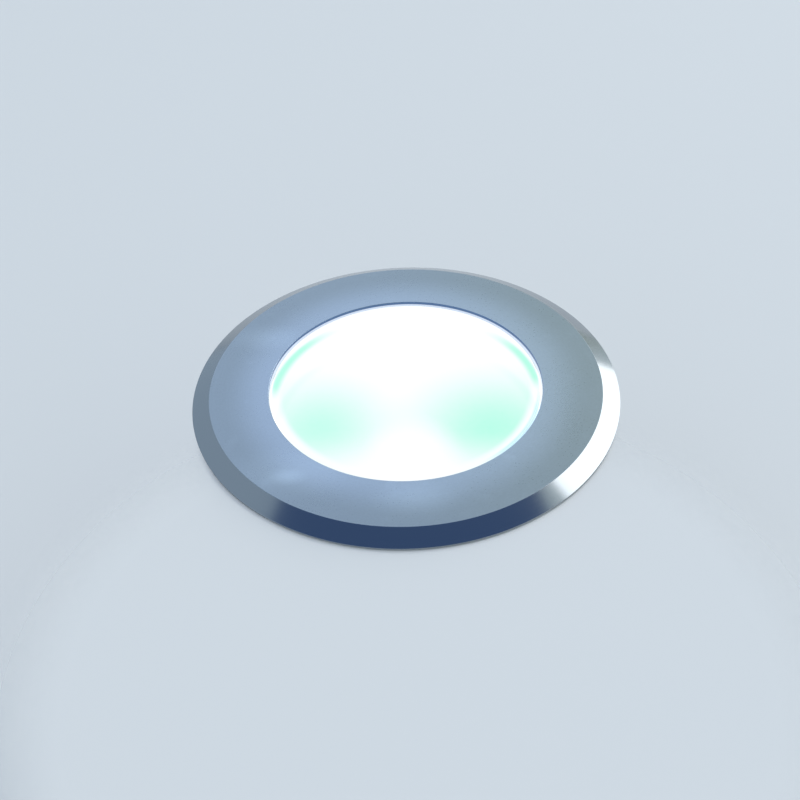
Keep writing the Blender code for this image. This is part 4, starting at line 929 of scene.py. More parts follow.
def plug():
    settings = {
        "head": 0.0092,
        "headEdges": (0.0005, 0.0003),
        "body": 0.0077,
        "bodyLength": 0.0050,
        "dish": 0.0050,
        "dip": 0.0006,
        "bead": 0.00025,
        "beads": 3,
        "tip": 0.0004,
        "notchHalf": (0.0036, 0.0006),
        "notchDepth": 0.0005,
    }
    head, shank, dish, dip = values(settings, "head body dish dip")
    inner, outer = high("entry_plug").x, low("entry_plug").x
    length = inner - outer
    seatAt = length - settings["bodyLength"]
    frontEdge, backEdge = settings["headEdges"]
    outline = [(0, dip), (dish, dip, 0.0004), (dish + dip, 0, 0.0002), (head, 0, frontEdge)]
    outline += [(head, seatAt, backEdge), (shank, seatAt)]
    spacing = settings["bodyLength"] / (settings["beads"] + 1)
    for number in range(settings["beads"]):
        valley = seatAt + spacing * (number + 0.75)
        outline.append((shank - settings["bead"], valley - spacing * 0.2, 0.0001))
        outline.append((shank, valley + spacing * 0.25, 0.0001))
    outline += [(shank - settings["tip"], length, 0.0003), (0, length)]
    piece = turned("blanking_plug", outline, 96, 4)
    x, y = settings["notchHalf"]
    notch = block("notch", (-x, -y, -overrun), (x, y, dip + settings["notchDepth"]))
    combine(piece, softened(notch, 0.0002))
    place = Matrix.Translation((outer, 0, centre("entry_plug").z)) @ Matrix.Rotation(math.pi / 2, 4, "Y")
    smoothed(madeWhole(moved(piece, place)), 32)
    dress(piece, "gasket_rubber", "sleeve", "entry_plug")


sleeve()
plug()
print("sleeve and its plug made")


casting = {
    "coreRadius": 0.0240,
    "cavityRadius": 0.0195,
    "pocketFloor": 0.0226,
    "pocketHalf": 0.0059,
    "coverCircle": 0.0245,
    "portRadius": 0.00785,
    "webTop": 0.02003,
    "webBottom": 0.02303,
    "plateTop": 0.01330,
    "plateBottom": 0.01500,
    "flangeTop": 0.03303,
    "bottom": 0.03803,
    "rim": 0.00663,
    "neckRadius": 0.0287,
    "standoffCircle": 0.0135,
}


def clipPocket(name, floorRadius, top, bottom):
    reach, half = plateRadius + overrun, casting["pocketHalf"]
    right = block(name, (floorRadius, -half, below(bottom)), (reach, half, below(top)))
    left = block(name + "_left", (-reach, -half, below(bottom)), (-floorRadius, half, below(top)))
    return joined([right, left])


def housing():
    settings = {
        "edge": 0.0003,
        "fineEdge": 0.00015,
        "fillet": 0.0008,
        "mouth": 0.0260,
        "mouthStep": 0.0005,
        "throatInset": 0.0041,
        "throatEnd": 0.0029,
        "taperEnd": 0.0049,
        "grooveTop": 0.0014,
        "grooveLow": 0.0035,
        "grooveDepth": 0.0018,
        "finCount": 30,
        "finRadius": 0.0295,
        "finThickness": 0.0016,
        "finTipShare": 0.72,
        "finEdge": 0.00035,
        "finLimit": 0.0067,
        "standoffRadius": 0.0025,
        "standoffHeight": 0.0030,
        "holeRadius": 0.00165,
        "holeDepth": 0.0045,
    }
    edge, fine, fillet, mouth = values(settings, "edge fineEdge fillet mouth")
    neck, core, cavity, rim = values(casting, "neckRadius coreRadius cavityRadius rim")
    webTop, webBottom, plateTop, plateBottom = values(casting, "webTop webBottom plateTop plateBottom")
    flangeTop, bottom = values(casting, "flangeTop bottom")
    throat, groove = neck - settings["throatInset"], neck - settings["grooveDepth"]
    step, throatEnd, taperEnd, grooveTop, grooveLow = (
        rim + drop for drop in values(settings, "mouthStep throatEnd taperEnd grooveTop grooveLow")
    )
    outline = sunk(
        (0, webTop), (cavity, webTop, fillet), (cavity, taperEnd, edge), (throat, throatEnd, edge),
        (throat, step, fine), (mouth, step, fine), (mouth, rim, fine), (neck, rim, edge),
        (neck, grooveTop, fine), (groove, grooveTop, fine),
        (groove, grooveLow, fine), (neck, grooveLow, fine),
        (neck, plateTop, fine), (plateRadius, plateTop, edge), (plateRadius, plateBottom, edge),
        (core, plateBottom, fillet), (core, flangeTop, fillet), (plateRadius, flangeTop, edge),
        (plateRadius, bottom, edge), (cavity, bottom, fine), (cavity, webBottom, fillet), (0, webBottom),
    )
    piece = turned("finned_housing", outline, 160, 3)

    half = settings["finThickness"] / 2
    finLow = (core - overrun, -half, below(flangeTop + overrun))
    fin = block("fin", finLow, (settings["finRadius"], half, below(plateBottom - overrun)))
    shrunk(fin, lambda point: point.x > core, (1, settings["finTipShare"], 1), (core, 0, 0))
    softened(fin, settings["finEdge"], 3)
    angles = evenAngles(settings["finCount"], math.pi / settings["finCount"])
    angles = [angle for angle in angles if abs(math.sin(angle)) * core > settings["finLimit"]]
    combine(piece, aroundAxis(fin, angles), "UNION")
    foot, top = below(webBottom + settings["standoffHeight"]), below(webBottom - overrun)
    for side in (-1, 1):
        x = side * casting["standoffCircle"]
        combine(piece, upright("standoff", settings["standoffRadius"], x, foot, top, 48), "UNION")
    combine(piece, clipPocket("pocket", casting["pocketFloor"], plateBottom, bottom + overrun))
    foot, top = below(bottom + overrun), below(bottom - settings["holeDepth"])
    drillFour(piece, settings["holeRadius"], casting["coverCircle"], foot, top)
    smoothed(madeWhole(piece), 32)
    dress(piece, "cast_aluminium", "luminaire", "housing")


def rearCover():
    settings = {
        "top": 0.03833,
        "bottom": 0.04183,
        "edge": 0.0006,
        "fineEdge": 0.00015,
        "grooveInner": 0.0199,
        "grooveOuter": 0.0223,
        "grooveDepth": 0.0011,
        "screwHole": 0.00165,
        "sinkRadius": 0.0030,
        "sinkDepth": 0.0020,
        "land": 0.0115,
        "dip": 0.0003,
        "dipSlope": 0.0006,
        "sealEdge": 0.0002,
        "screw": {"radius": 0.0015, "length": 0.0062, "headRadius": 0.0027, "headHeight": 0.0017},
    }
    top, bottom, edge, fine = values(settings, "top bottom edge fineEdge")
    inner, outer, land, slope = values(settings, "grooveInner grooveOuter land dipSlope")
    port, circle = values(casting, "portRadius coverCircle")
    groove, dip = top + settings["grooveDepth"], bottom - settings["dip"]
    outline = sunk(
        (port, top, fine), (inner, top, fine), (inner, groove), (outer, groove), (outer, top, fine),
        (plateRadius, top, fine), (plateRadius, bottom, edge), (inner, bottom, fine), (inner - slope, dip),
        (land + slope, dip), (land, bottom, fine), (port, bottom, fine),
    )
    piece = turned("rear_plate", outline, 160, 4)
    foot = below(bottom + overrun)
    drillFour(piece, settings["screwHole"], circle, foot, below(top - overrun))
    drillFour(piece, settings["sinkRadius"], circle, foot, below(bottom - settings["sinkDepth"]), 48)
    combine(piece, clipPocket("pocket", casting["coreRadius"], top - overrun, bottom + overrun))
    smoothed(madeWhole(piece), 32)
    dress(piece, "cast_aluminium", "luminaire", "rear_cover")

    master = makeScrew("cover_screw", **settings["screw"])
    height = below(bottom - settings["screw"]["headHeight"])
    rows = []
    for number, angle in enumerate(evenAngles(4, math.pi / 4), 1):
        place = onAxis(circle * math.cos(angle), circle * math.sin(angle), height, True)
        rows.append((f"rear_plate_screw_{number}", f"rear_cover_screw_{number}", place))
    placeScrews(master, rows)
    piece = ringSeal("rear_seal", inner + seat, outer - seat, "rear_gasket", settings["sealEdge"])
    dress(piece, "gasket_rubber", "luminaire", "rear_gasket")


def threadPoints(radius, start, turns, cut):
    # V grooves down a thread
    pitch = 0.0010
    points = []
    for turn in range(turns):
        top = start + pitch * turn
        points += [(radius, top), (radius - cut, top + pitch * 0.4), (radius, top + pitch * 0.8)]
    return points


def gland():
    settings = {
        "top": 0.03833,
        "thread": 0.0077,
        "threadStart": 0.03893,
        "shoulder": 0.0440,
        "barrel": 0.00725,
        "barrelTop": 0.0474,
        "barrelThread": 0.0475,
        "barrelEnd": 0.05163,
        "threadCuts": (0.00035, 0.0003),
        "hexTop": 0.04213,
        "hexBottom": 0.04613,
        "hexAcross": 0.0200,
        "chamfer": 0.0004,
        "bore": 0.0042,
        "boreMouth": (0.0378, 0.0389),
        "boreFlare": 0.0006,
        "barrelBore": 0.00625,
        "seatTop": 0.04703,
        "sealEdge": 0.0003,
        "nutTop": 0.04643,
        "nutInside": 0.0490,
        "nutHexEnd": 0.05193,
        "nutEnd": 0.05543,
        "nutAcross": 0.0190,
        "nutBore": 0.00755,
        "nutEdges": (0.0008, 0.0006),
        "mouth": 0.00635,
        "mouthBore": 0.00435,
        "mouthFlare": 0.0006,
    }
    top, thread, shoulder, barrel = values(settings, "top thread shoulder barrel")
    barrelEnd, chamfer, bore, barrelBore = values(settings, "barrelEnd chamfer bore barrelBore")
    threadCut, barrelCut = settings["threadCuts"]
    outline = [(0, top), (thread - chamfer, top), (thread, top + chamfer)]
    outline += threadPoints(thread, settings["threadStart"], 3, threadCut)
    outline += [(thread, shoulder), (barrel, shoulder), (barrel, settings["barrelTop"])]
    outline += threadPoints(barrel, settings["barrelThread"], 4, barrelCut)
    outline += [(barrel - barrelCut, barrelEnd), (0, barrelEnd)]
    piece = turned("gland_stem", sunk(*outline), 96)
    ends = [below(settings["hexBottom"]), below(settings["hexTop"])]
    combine(piece, hexSolid("hex_part", settings["hexAcross"], *ends, chamfer), "UNION")
    (start, end), seatTop = settings["boreMouth"], settings["seatTop"]
    outline = sunk(
        (0, start), (bore + settings["boreFlare"], start), (bore, end), (bore, seatTop),
        (barrelBore, seatTop), (barrelBore, barrelEnd + overrun), (0, barrelEnd + overrun),
    )
    combine(piece, turned("stem_bore", outline, 96))
    smoothed(madeWhole(piece), 28)
    dress(piece, "nickel_brass", "luminaire", "gland_body")

    inner, flare, nutTop, nutEnd = values(settings, "mouthBore mouthFlare nutTop nutEnd")
    piece = ringSeal("cable_seal", inner, barrelBore - seat, "gland_seal", settings["sealEdge"], 96)
    dress(piece, "gasket_rubber", "luminaire", "gland_seal")

    across, inside, hexEnd, nutBore = values(settings, "nutAcross nutInside nutHexEnd nutBore")
    shoulder = across / 2 - chamfer
    domeEdge, mouthEdge = settings["nutEdges"]
    outline = sunk(
        (0, inside), (shoulder, inside), (shoulder, hexEnd + (nutEnd - hexEnd) / 3, domeEdge),
        (settings["mouth"], nutEnd, mouthEdge), (0, nutEnd),
    )
    piece = turned("clamp_nut", outline, 96, 6)
    combine(piece, hexSolid("hex_part", across, below(hexEnd), below(nutTop), chamfer), "UNION")
    outline = sunk(
        (0, nutTop - overrun), (nutBore, nutTop - overrun), (nutBore, barrelEnd + seat),
        (inner, barrelEnd + seat), (inner, nutEnd - flare), (inner + flare + past, nutEnd + past),
        (0, nutEnd + past),
    )
    combine(piece, turned("nut_bore", outline, 96))
    smoothed(madeWhole(piece), 28)
    dress(piece, "nickel_brass", "luminaire", "gland_nut")


housing()
rearCover()
gland()
print("housing, rear cover and gland made")


def reflectorBowl():
    settings = {
        "wall": 0.0012,
        "flange": 0.0013,
        "foot": 0.0076,
        "margin": 0.0008,
        "power": 1.7,
        "steps": 24,
        "edge": 0.0003,
    }
    bottom, top, rim = low("reflector").z, high("reflector").z, high("reflector").x
    flangeLow, edge = top - settings["flange"], settings["edge"]
    flangeShare = (flangeLow - bottom) / (top - bottom)

    def bowlRadius(share):
        foot, mouth = settings["foot"], rim - settings["margin"]
        return foot + (mouth - foot) * share ** settings["power"]

    shares = [step / settings["steps"] for step in range(settings["steps"] + 1)]
    inside = [(bowlRadius(share), bottom + share * (top - bottom)) for share in shares]
    outside = [
        (bowlRadius(share * flangeShare) + settings["wall"], bottom + share * (flangeLow - bottom))
        for share in reversed(shares)
    ]
    corners = [(rim, top, edge), (rim, flangeLow, edge)]
    piece = smoothed(turned("light_bowl", inside + corners + outside, 128, 3), 35)
    dress(piece, "white_plastic", "luminaire", "reflector")


def roundBoard(name, node, settings):
    # a board with its two screw holes; its slot has the same name as its node
    piece = disc(name, settings["radius"], node)
    bottom, top = low(node).z - overrun, high(node).z + overrun
    for side in (-1, 1):
        x = side * settings["screwCircle"]
        combine(piece, upright("screw_hole", settings["screwHole"], x, bottom, top))
    smoothed(madeWhole(piece))
    dress(piece, node, "luminaire", node)


def boardScrews(name, node, settings, height, upsideDown=False):
    screw = {"radius": 0.0010, "headRadius": 0.0016, "headHeight": 0.0013}
    master = makeScrew(name, length=settings["screwLength"], **screw)
    rows = []
    for side, word in sides:
        place = onAxis(side * settings["screwCircle"], 0, height, upsideDown)
        rows.append((f"{name}_{word}", f"{node}_{word}", place))
    placeScrews(master, rows)


def ledStack():
    settings = {
        "radius": 0.0133,
        "screwHole": 0.00115,
        "screwCircle": 0.0112,
        "screwLength": 0.0050,
        "padRadius": 0.0097,
        "emitter": 0.0050,
        "emitterHeight": 0.0007,
        "emitterEdge": 0.00015,
        "dome": 0.0019,
        "domeHeight": 0.0012,
        "domeFoot": 0.0003,
        "domeSteps": 12,
    }
    roundBoard("lamp_board", "led_board", settings)

    half = settings["emitter"] / 2
    bottom = low("led_emitter").z
    top = bottom + settings["emitterHeight"]
    case = softened(block("lamp_chip", (-half, -half, bottom), (half, half, top)), settings["emitterEdge"])
    dome, domeHeight, domeSteps = values(settings, "dome domeHeight domeSteps")
    domeTop, foot = top + domeHeight, bottom + settings["domeFoot"]
    outline = [(0, domeTop)]
    for step in range(1, domeSteps + 1):
        angle = math.pi / 2 * step / domeSteps
        outline.append((dome * math.sin(angle), domeTop - domeHeight * (1 - math.cos(angle))))
    outline += [(dome, foot), (0, foot)]
    combine(case, turned("dome", outline, 64), "UNION")
    dress(smoothed(case), "led_emitter", "luminaire", "led_emitter")

    piece = smoothed(disc("heat_pad", settings["padRadius"], "thermal_pad", 64))
    dress(piece, "thermal_pad", "luminaire", "thermal_pad")
    boardScrews("lamp_board_screw", "led_board_screw", settings, high("led_board").z + seat)


def lensAndHolder():
    settings = {
        "bore": 0.0062,
        "outer": 0.0070,
        "height": 0.0061,
        "lip": 0.0018,
        "floor": 0.0008,
        "edge": 0.0002,
        "fineEdge": 0.0001,
        "lens": 0.0066,
        "flange": 0.0008,
        "flangeWidth": 0.0007,
        "crown": 0.0004,
        "crownShare": 0.92,
        "crownSteps": 8,
        "foot": 0.0034,
        "hollow": 0.0025,
        "hollowDepth": 0.0022,
        "hollowRound": 0.0004,
        "footLift": 0.0016,
    }
    board = low("lens_holder").z
    bore, outer, edge, fine, lens = values(settings, "bore outer edge fineEdge lens")
    lip, top, floor = bore - settings["lip"], board + settings["height"], board + settings["floor"]
    outline = [
        (lip, board, fine), (outer, board, edge), (outer, top, edge), (bore, top, edge),
        (bore, floor, edge), (lip, floor, edge),
    ]
    piece = smoothed(turned("lens_cup", outline, 96, 3))
    dress(piece, "white_plastic", "luminaire", "lens_holder")

    foot = board + settings["footLift"]
    flangeLow = top + seat
    flangeHigh = flangeLow + settings["flange"]
    hollow, hollowDepth = values(settings, "hollow hollowDepth")
    crown, steps = values(settings, "crown crownSteps")
    outline = [
        (lens * settings["crownShare"] * step / steps, flangeHigh + crown * (1 - (step / steps) ** 2))
        for step in range(steps + 1)
    ]
    outline += [
        (lens, flangeHigh, fine), (lens, flangeLow, fine), (lens - settings["flangeWidth"], flangeLow),
        (settings["foot"], foot, fine), (hollow, foot, fine),
        (hollow * 0.9, foot + hollowDepth * 0.8, settings["hollowRound"]), (0, foot + hollowDepth),
    ]
    piece = smoothed(turned("beam_lens", outline, 96, 4), 25)
    dress(piece, "clear_plastic", "luminaire", "lens")


reflectorBowl()
ledStack()
lensAndHolder()
print("reflector, lamp board and lens made")


def tube(name, points, radius, sides=3):
    # a round wire along points, with closed ends
    bpy.ops.object.select_all(action="DESELECT")
    bpy.ops.curve.primitive_nurbs_path_add()
    path = bpy.context.object
    path.name = path.data.name = name
    path.data.splines.clear()
    spline = path.data.splines.new("POLY")
    spline.points.add(len(points) - 1)
    for point, place in zip(spline.points, points):
        point.co = (*place, 1)
    path.data.bevel_depth = radius
    path.data.bevel_resolution = sides
    path.data.use_fill_caps = True
    bpy.ops.object.convert(target="MESH")
    piece = bpy.context.object
    startEdit(piece, "SELECT")
    bpy.ops.mesh.remove_doubles(threshold=0.000001)
    bpy.ops.mesh.normals_make_consistent(inside=False)
    endEdit()
    return smoothed(piece, 50)


def driverBoard():
    settings = {
        "radius": 0.0178,
        "screwHole": 0.00115,
        "screwCircle": casting["standoffCircle"],
        "screwLength": 0.0052,
    }
    roundBoard("power_board", "driver_board", settings)
    boardScrews("power_board_screw", "driver_screw", settings, low("driver_board").z - seat, True)


def choke():
    settings = {
        "radius": 0.0048,
        "waist": 0.0035,
        "cheek": 0.0012,
        "cheekEdges": (0.0003, 0.0002),
        "turns": 9,
        "turnSteps": 5,
        "turnDepth": 0.8,
        "windingBore": 0.0033,
        "windingRadius": 0.0037,
        "windingGap": 0.0001,
    }
    radius, waist, cheek, turns = values(settings, "radius waist cheek turns")
    edge, innerEdge = settings["cheekEdges"]
    spot = centre("driver_inductor")
    place = Matrix.Translation((spot.x, spot.y, 0))
    top, bottom = high("driver_inductor").z, low("driver_inductor").z
    upper, lower = top - cheek, bottom + cheek
    outline = [
        (0, top), (radius, top, edge), (radius, upper, innerEdge), (waist, upper),
        (waist, lower), (radius, lower, innerEdge), (radius, bottom, edge), (0, bottom),
    ]
    drum = moved(smoothed(turned("choke_core", outline, 64, 3)), place)
    dress(drum, "ferrite", "luminaire", "driver_inductor")

    half = (upper - lower) / turns / 2
    bore, reach, gap, steps = values(settings, "windingBore windingRadius windingGap turnSteps")
    outline = [(bore, upper - gap)]
    for turn in range(turns):
        for step in range(steps):
            angle = math.pi * (step + 0.5) / steps
            height = upper - half * 2 * turn - half + half * math.cos(angle)
            outline.append((reach + half * math.sin(angle) * settings["turnDepth"], height))
    outline.append((bore, lower + gap))
    winding = moved(smoothed(turned("choke_winding", outline, 64), 60), place)
    dress(winding, "ferrite", "luminaire", "driver_inductor", finishes["enamelled_copper"])


def reservoir():
    settings = {
        "radius": 0.0040,
        "edge": 0.0003,
        "foldEdge": 0.0005,
        "crimpStart": 0.0012,
        "crimpHalf": 0.0004,
        "crimpDepth": 0.0003,
        "crimpEdge": 0.0002,
        "lidInset": 0.0009,
        "lidDip": 0.00012,
        "lidEdge": 0.0001,
        "ventHalf": (0.0026, 0.00012),
        "ventDepth": 0.00022,
    }
    radius, edge, half, dip = values(settings, "radius edge crimpHalf lidDip")
    spot = centre("driver_capacitor")
    top, bottom = high("driver_capacitor").z, low("driver_capacitor").z
    crimp = top - settings["crimpStart"]
    lid, lidEdge = radius - settings["lidInset"], settings["lidEdge"]
    outline = [
        (0, top), (radius, top, edge), (radius, crimp, edge),
        (radius - settings["crimpDepth"], crimp - half, settings["crimpEdge"]),
        (radius, crimp - half * 2, edge), (radius, bottom, settings["foldEdge"]),
        (lid, bottom, lidEdge), (lid - lidEdge, bottom + dip), (0, bottom + dip),
    ]
    can = turned("reservoir_can", outline, 64, 4)
    x, y = settings["ventHalf"]
    for turn in (math.pi / 4, math.pi * 3 / 4):
        slot = block("vent", (-x, -y, bottom), (x, y, bottom + settings["ventDepth"]))
        combine(can, moved(slot, Matrix.Rotation(turn, 4, "Z")))
    moved(can, Matrix.Translation((spot.x, spot.y, 0)))
    dress(smoothed(can), "capacitor_can", "luminaire", "driver_capacitor")


def terminal():
    settings = {
        "edge": 0.0003,
        "wireWay": 0.0015,
        "wireReach": 0.0035,
        "wellRadius": 0.0015,
        "wellDepth": 0.0012,
        "grooveHalf": 0.0002,
        "grooveDepth": 0.0004,
        "screwRadius": 0.0013,
        "screwHeight": 0.0006,
        "screwEdge": 0.0002,
        "screwSink": 0.0005,
        "slotHalf": (0.0020, 0.0002),
        "slotDepth": 0.0003,
    }
    lowCorner, highCorner = low("driver_terminal"), high("driver_terminal")
    middle = centre("driver_terminal")
    front, bottom = lowCorner.y - overrun, lowCorner.z - overrun
    spacing = (highCorner.x - lowCorner.x) / 4
    piece = softened(block("supply_terminal", lowCorner, highCorner), settings["edge"], 3)
    for side in (-1, 1):
        x = side * spacing
        ends = [(x, front, middle.z), (x, lowCorner.y + settings["wireReach"], middle.z)]
        combine(piece, rod("wire_way", settings["wireWay"], *ends))
        ends = [(x, middle.y, bottom), (x, middle.y, lowCorner.z + settings["wellDepth"])]
        combine(piece, rod("screw_well", settings["wellRadius"], *ends))
    half = settings["grooveHalf"]
    grooveEnd = (half, highCorner.y + overrun, lowCorner.z + settings["grooveDepth"])
    combine(piece, block("groove", (-half, front, bottom), grooveEnd))
    smoothed(madeWhole(piece))
    dress(piece, "terminal_plastic", "luminaire", "driver_terminal")

    radius, height, edge, sink = values(settings, "screwRadius screwHeight screwEdge screwSink")
    x, y = settings["slotHalf"]
    for side, word in sides:
        outline = [(0, 0), (radius, 0, edge), (radius, height), (0, height)]
        piece = turned(f"terminal_screw_{word}", outline, 40, 3)
        combine(piece, block("slot", (-x, -y, -overrun), (x, y, settings["slotDepth"])))
        moved(piece, Matrix.Translation((side * spacing, middle.y, lowCorner.z + sink)))
        dress(smoothed(piece), "plated_steel", "luminaire", "driver_terminal")


def chip(word, legs):
    settings = {
        "inset": 0.0007,
        "edge": 0.0002,
        "lift": 0.0001,
        "legHalf": 0.0002,
        "legTop": 0.0005,
        "legEdge": 0.00008,
    }
    inset, lift, half = values(settings, "inset lift legHalf")
    lowCorner, highCorner = low(f"driver_{word}"), high(f"driver_{word}")
    case = block(f"{word}_case", lowCorner + Vector((inset, 0, 0)), highCorner - Vector((inset, 0, lift)))
    smoothed(softened(case, settings["edge"]))
    dress(case, "chip_plastic", "luminaire", f"driver_{word}")
    top, foot = highCorner.z - settings["legTop"], highCorner.z - lift
    width = (highCorner.y - lowCorner.y) / legs
    pieces = []
    for x in (lowCorner.x, highCorner.x - inset):
        for number in range(legs):
            y = lowCorner.y + width * (number + 0.5)
            leg = block("leg", (x, y - half, top), (x + inset, y + half, foot))
            pieces.append(softened(leg, settings["legEdge"]))
    piece = joined(pieces)
    piece.name = piece.data.name = f"{word}_legs"
    dress(piece, "plated_steel", "luminaire", f"driver_{word}")


def leads():
    settings = {
        "radius": 0.00055,
        "arch": 0.0013,
        "archDepth": 0.01703,
        "startDepth": 0.02603,
        "spread": 0.0022,
        "outer": 0.0142,
        "steps": 24,
    }
    radius, arch, outer, steps = values(settings, "radius arch outer steps")
    archBase, start = below(settings["archDepth"]), below(settings["startDepth"])
    for side, word, slot in ((-1, "negative", "black_insulation"), (1, "positive", "red_insulation")):
        x = side * settings["spread"]
        points = [(x, outer, start), (x, outer, (start + archBase) / 2)]
        for step in range(steps + 1):
            angle = math.pi * step / steps
            points.append((x, outer - arch + arch * math.cos(angle), archBase + arch * math.sin(angle)))
        piece = tube(f"lamp_lead_{word}", points, radius, 4)
        dress(piece, slot, "luminaire", f"led_lead_{word}")


driverBoard()
choke()
reservoir()
terminal()
chip("controller", 4)
chip("rectifier", 2)
leads()
print("driver and leads made")


clip = {
    "tilt": math.radians(15.904),
    "bracketBack": -0.00325,
    "bracketFront": -0.00225,
    "bracketTop": 0.0050,
    "bracketBottom": -0.0128,
    "bracketHalf": 0.00495,
    "bracketInner": 0.00405,
    "bracketEar": 0.0019,
    "bracketRoot": 0.0034,
    "cheekLap": 0.0005,
    "pressedEdge": 0.0001,
    "pinHole": 0.00115,
    "screwHole": 0.00135,
    "screwDrops": (0.0052, 0.0096),
    "armHalf": 0.00385,
    "armInner": 0.00305,
    "armThickness": 0.0009,
    "armTop": -0.0026,
    "armBend": -0.0090,
    "armNarrow": -0.0110,
    "armBottom": -0.0155,
    "armTip": 0.0026,
    "armEar": 0.0018,
}


def clipPlace(side, word):
    pivot = Matrix.Translation(pivots[f"{word}_clip_pivot"])
    return pivot @ Matrix.Rotation(0 if side > 0 else math.pi, 4, "Z")


def addEar(piece, flank, ear, start, end):
    # a flank that ends in a round ear about the pin
    combine(flank, rod("ear", ear, (0, start, 0), (0, end, 0), 48), "UNION")
    combine(piece, flank, "UNION")


def drillPinHole(piece):
    reach = clip["bracketHalf"] + overrun * 2
    combine(piece, rod("pin_hole", clip["pinHole"], (0, -reach, 0), (0, reach, 0)))


def bracket():
    back, front, half, inner = values(clip, "bracketBack bracketFront bracketHalf bracketInner")
    ear, root, edge = values(clip, "bracketEar bracketRoot pressedEdge")
    piece = block("pivot_bracket", (back, -half, clip["bracketBottom"]), (front, half, clip["bracketTop"]))
    softened(piece, edge, 2, 40)
    for start, end in ((-half, -inner), (inner, half)):
        cheek = block("cheek", (back + clip["cheekLap"], start, -root), (0, end, root))
        shrunk(cheek, lambda point: point.x > -past, (1, 1, ear / root))
        addEar(piece, cheek, ear, start, end)
    drillPinHole(piece)
    for drop in clip["screwDrops"]:
        ends = [(back - overrun, 0, -drop), (front + overrun, 0, -drop)]
        combine(piece, rod("screw_hole", clip["screwHole"], *ends))
    return smoothed(madeWhole(piece))


def arm():
    half, inner, ear, edge = values(clip, "armHalf armInner armEar pressedEdge")
    top, bend, narrow, bottom = values(clip, "armTop armBend armNarrow armBottom")
    thick = clip["armThickness"] / 2
    piece = block("sprung_arm", (-thick, -half, bottom), (thick, half, top))
    cutAcross(piece, bend)
    cutAcross(piece, narrow)
    shrunk(piece, lambda point: point.z < narrow + past, (1, clip["armTip"] / half, 1))
    softened(piece, edge, 2, 40)
    for start, end in ((-half, -inner), (inner, half)):
        flank = block("flank", (-ear, start, bend), (ear, end, 0))
        cutAcross(flank, top)
        shrunk(flank, lambda point: point.z < bend + past, (thick / 2 / ear, 1, 1))
        addEar(piece, flank, ear, start, end)
    drillPinHole(piece)
    return smoothed(madeWhole(piece))


def boot():
    settings = {
        "thick": 0.00125,
        "half": 0.0034,
        "bottom": -0.0163,
        "top": -0.0118,
        "wall": 0.0005,
        "edge": 0.0004,
        "grooves": 4,
        "grooveRadius": 0.0002,
        "grooveOut": 0.00006,
        "grooveStart": 0.0009,
        "groovePitch": 0.00085,
    }
    thick, half, wall, bottom, top = values(settings, "thick half wall bottom top")
    piece = softened(block("rubber_boot", (-thick, -half, bottom), (thick, half, top)), settings["edge"], 4)
    x = thick + settings["grooveOut"]
    for number in range(settings["grooves"]):
        height = bottom + settings["grooveStart"] + settings["groovePitch"] * number
        ends = [(x, -half * 2, height), (x, half * 2, height)]
        combine(piece, rod("groove", settings["grooveRadius"], *ends, 16))
    hollowEnd = (thick - wall, half - wall, top + overrun)
    combine(piece, block("hollow", (wall - thick, wall - half, bottom + wall), hollowEnd))
    return smoothed(madeWhole(piece), 35)


def pin():
    settings = {"radius": 0.0010, "half": 0.0051, "head": 0.0016, "headThickness": 0.0005, "edge": 0.0002}
    radius, half, head, edge = values(settings, "radius half head edge")
    end, fine = half + settings["headThickness"], edge / 2
    outline = [
        (0, end), (head, end, edge), (head, half, fine), (radius, half), (radius, -half),
        (head, -half, fine), (head, -end, edge), (0, -end),
    ]
    return smoothed(moved(turned("pivot_pin", outline, 48, 3), Matrix.Rotation(math.pi / 2, 4, "X")))


def spring():
    # one wire: a leg on the arm, the coil round the pin and a leg on the bracket
    settings = {
        "coil": 0.0016,
        "wire": 0.0007,
        "turns": 4,
        "turnSteps": 32,
        "pitch": 0.0012,
        "leg": 0.0070,
        "fixedLeg": 0.0043,
    }
    coil, wire, leg = values(settings, "coil wire leg")
    tilt = clip["tilt"]
    legX = -(clip["armThickness"] / 2 + seat + wire / 2)
    start = tilt + math.atan2(leg, -legX) - math.acos(coil / math.hypot(legX, leg))
    sweep = start + math.tau * settings["turns"]
    half = settings["pitch"] * sweep / math.tau / 2
    endX = legX * math.cos(tilt) + leg * math.sin(tilt)
    points = [(endX, half, legX * math.sin(tilt) - leg * math.cos(tilt))]
    steps = round(settings["turnSteps"] * sweep / math.tau)
    for step in range(steps + 1):
        angle = start - sweep * step / steps
        points.append((-coil * math.cos(angle), half * (1 - 2 * step / steps), -coil * math.sin(angle)))
    points.append((-coil, -half, settings["fixedLeg"]))
    return tube("clip_coil", points, wire / 2, 4), half


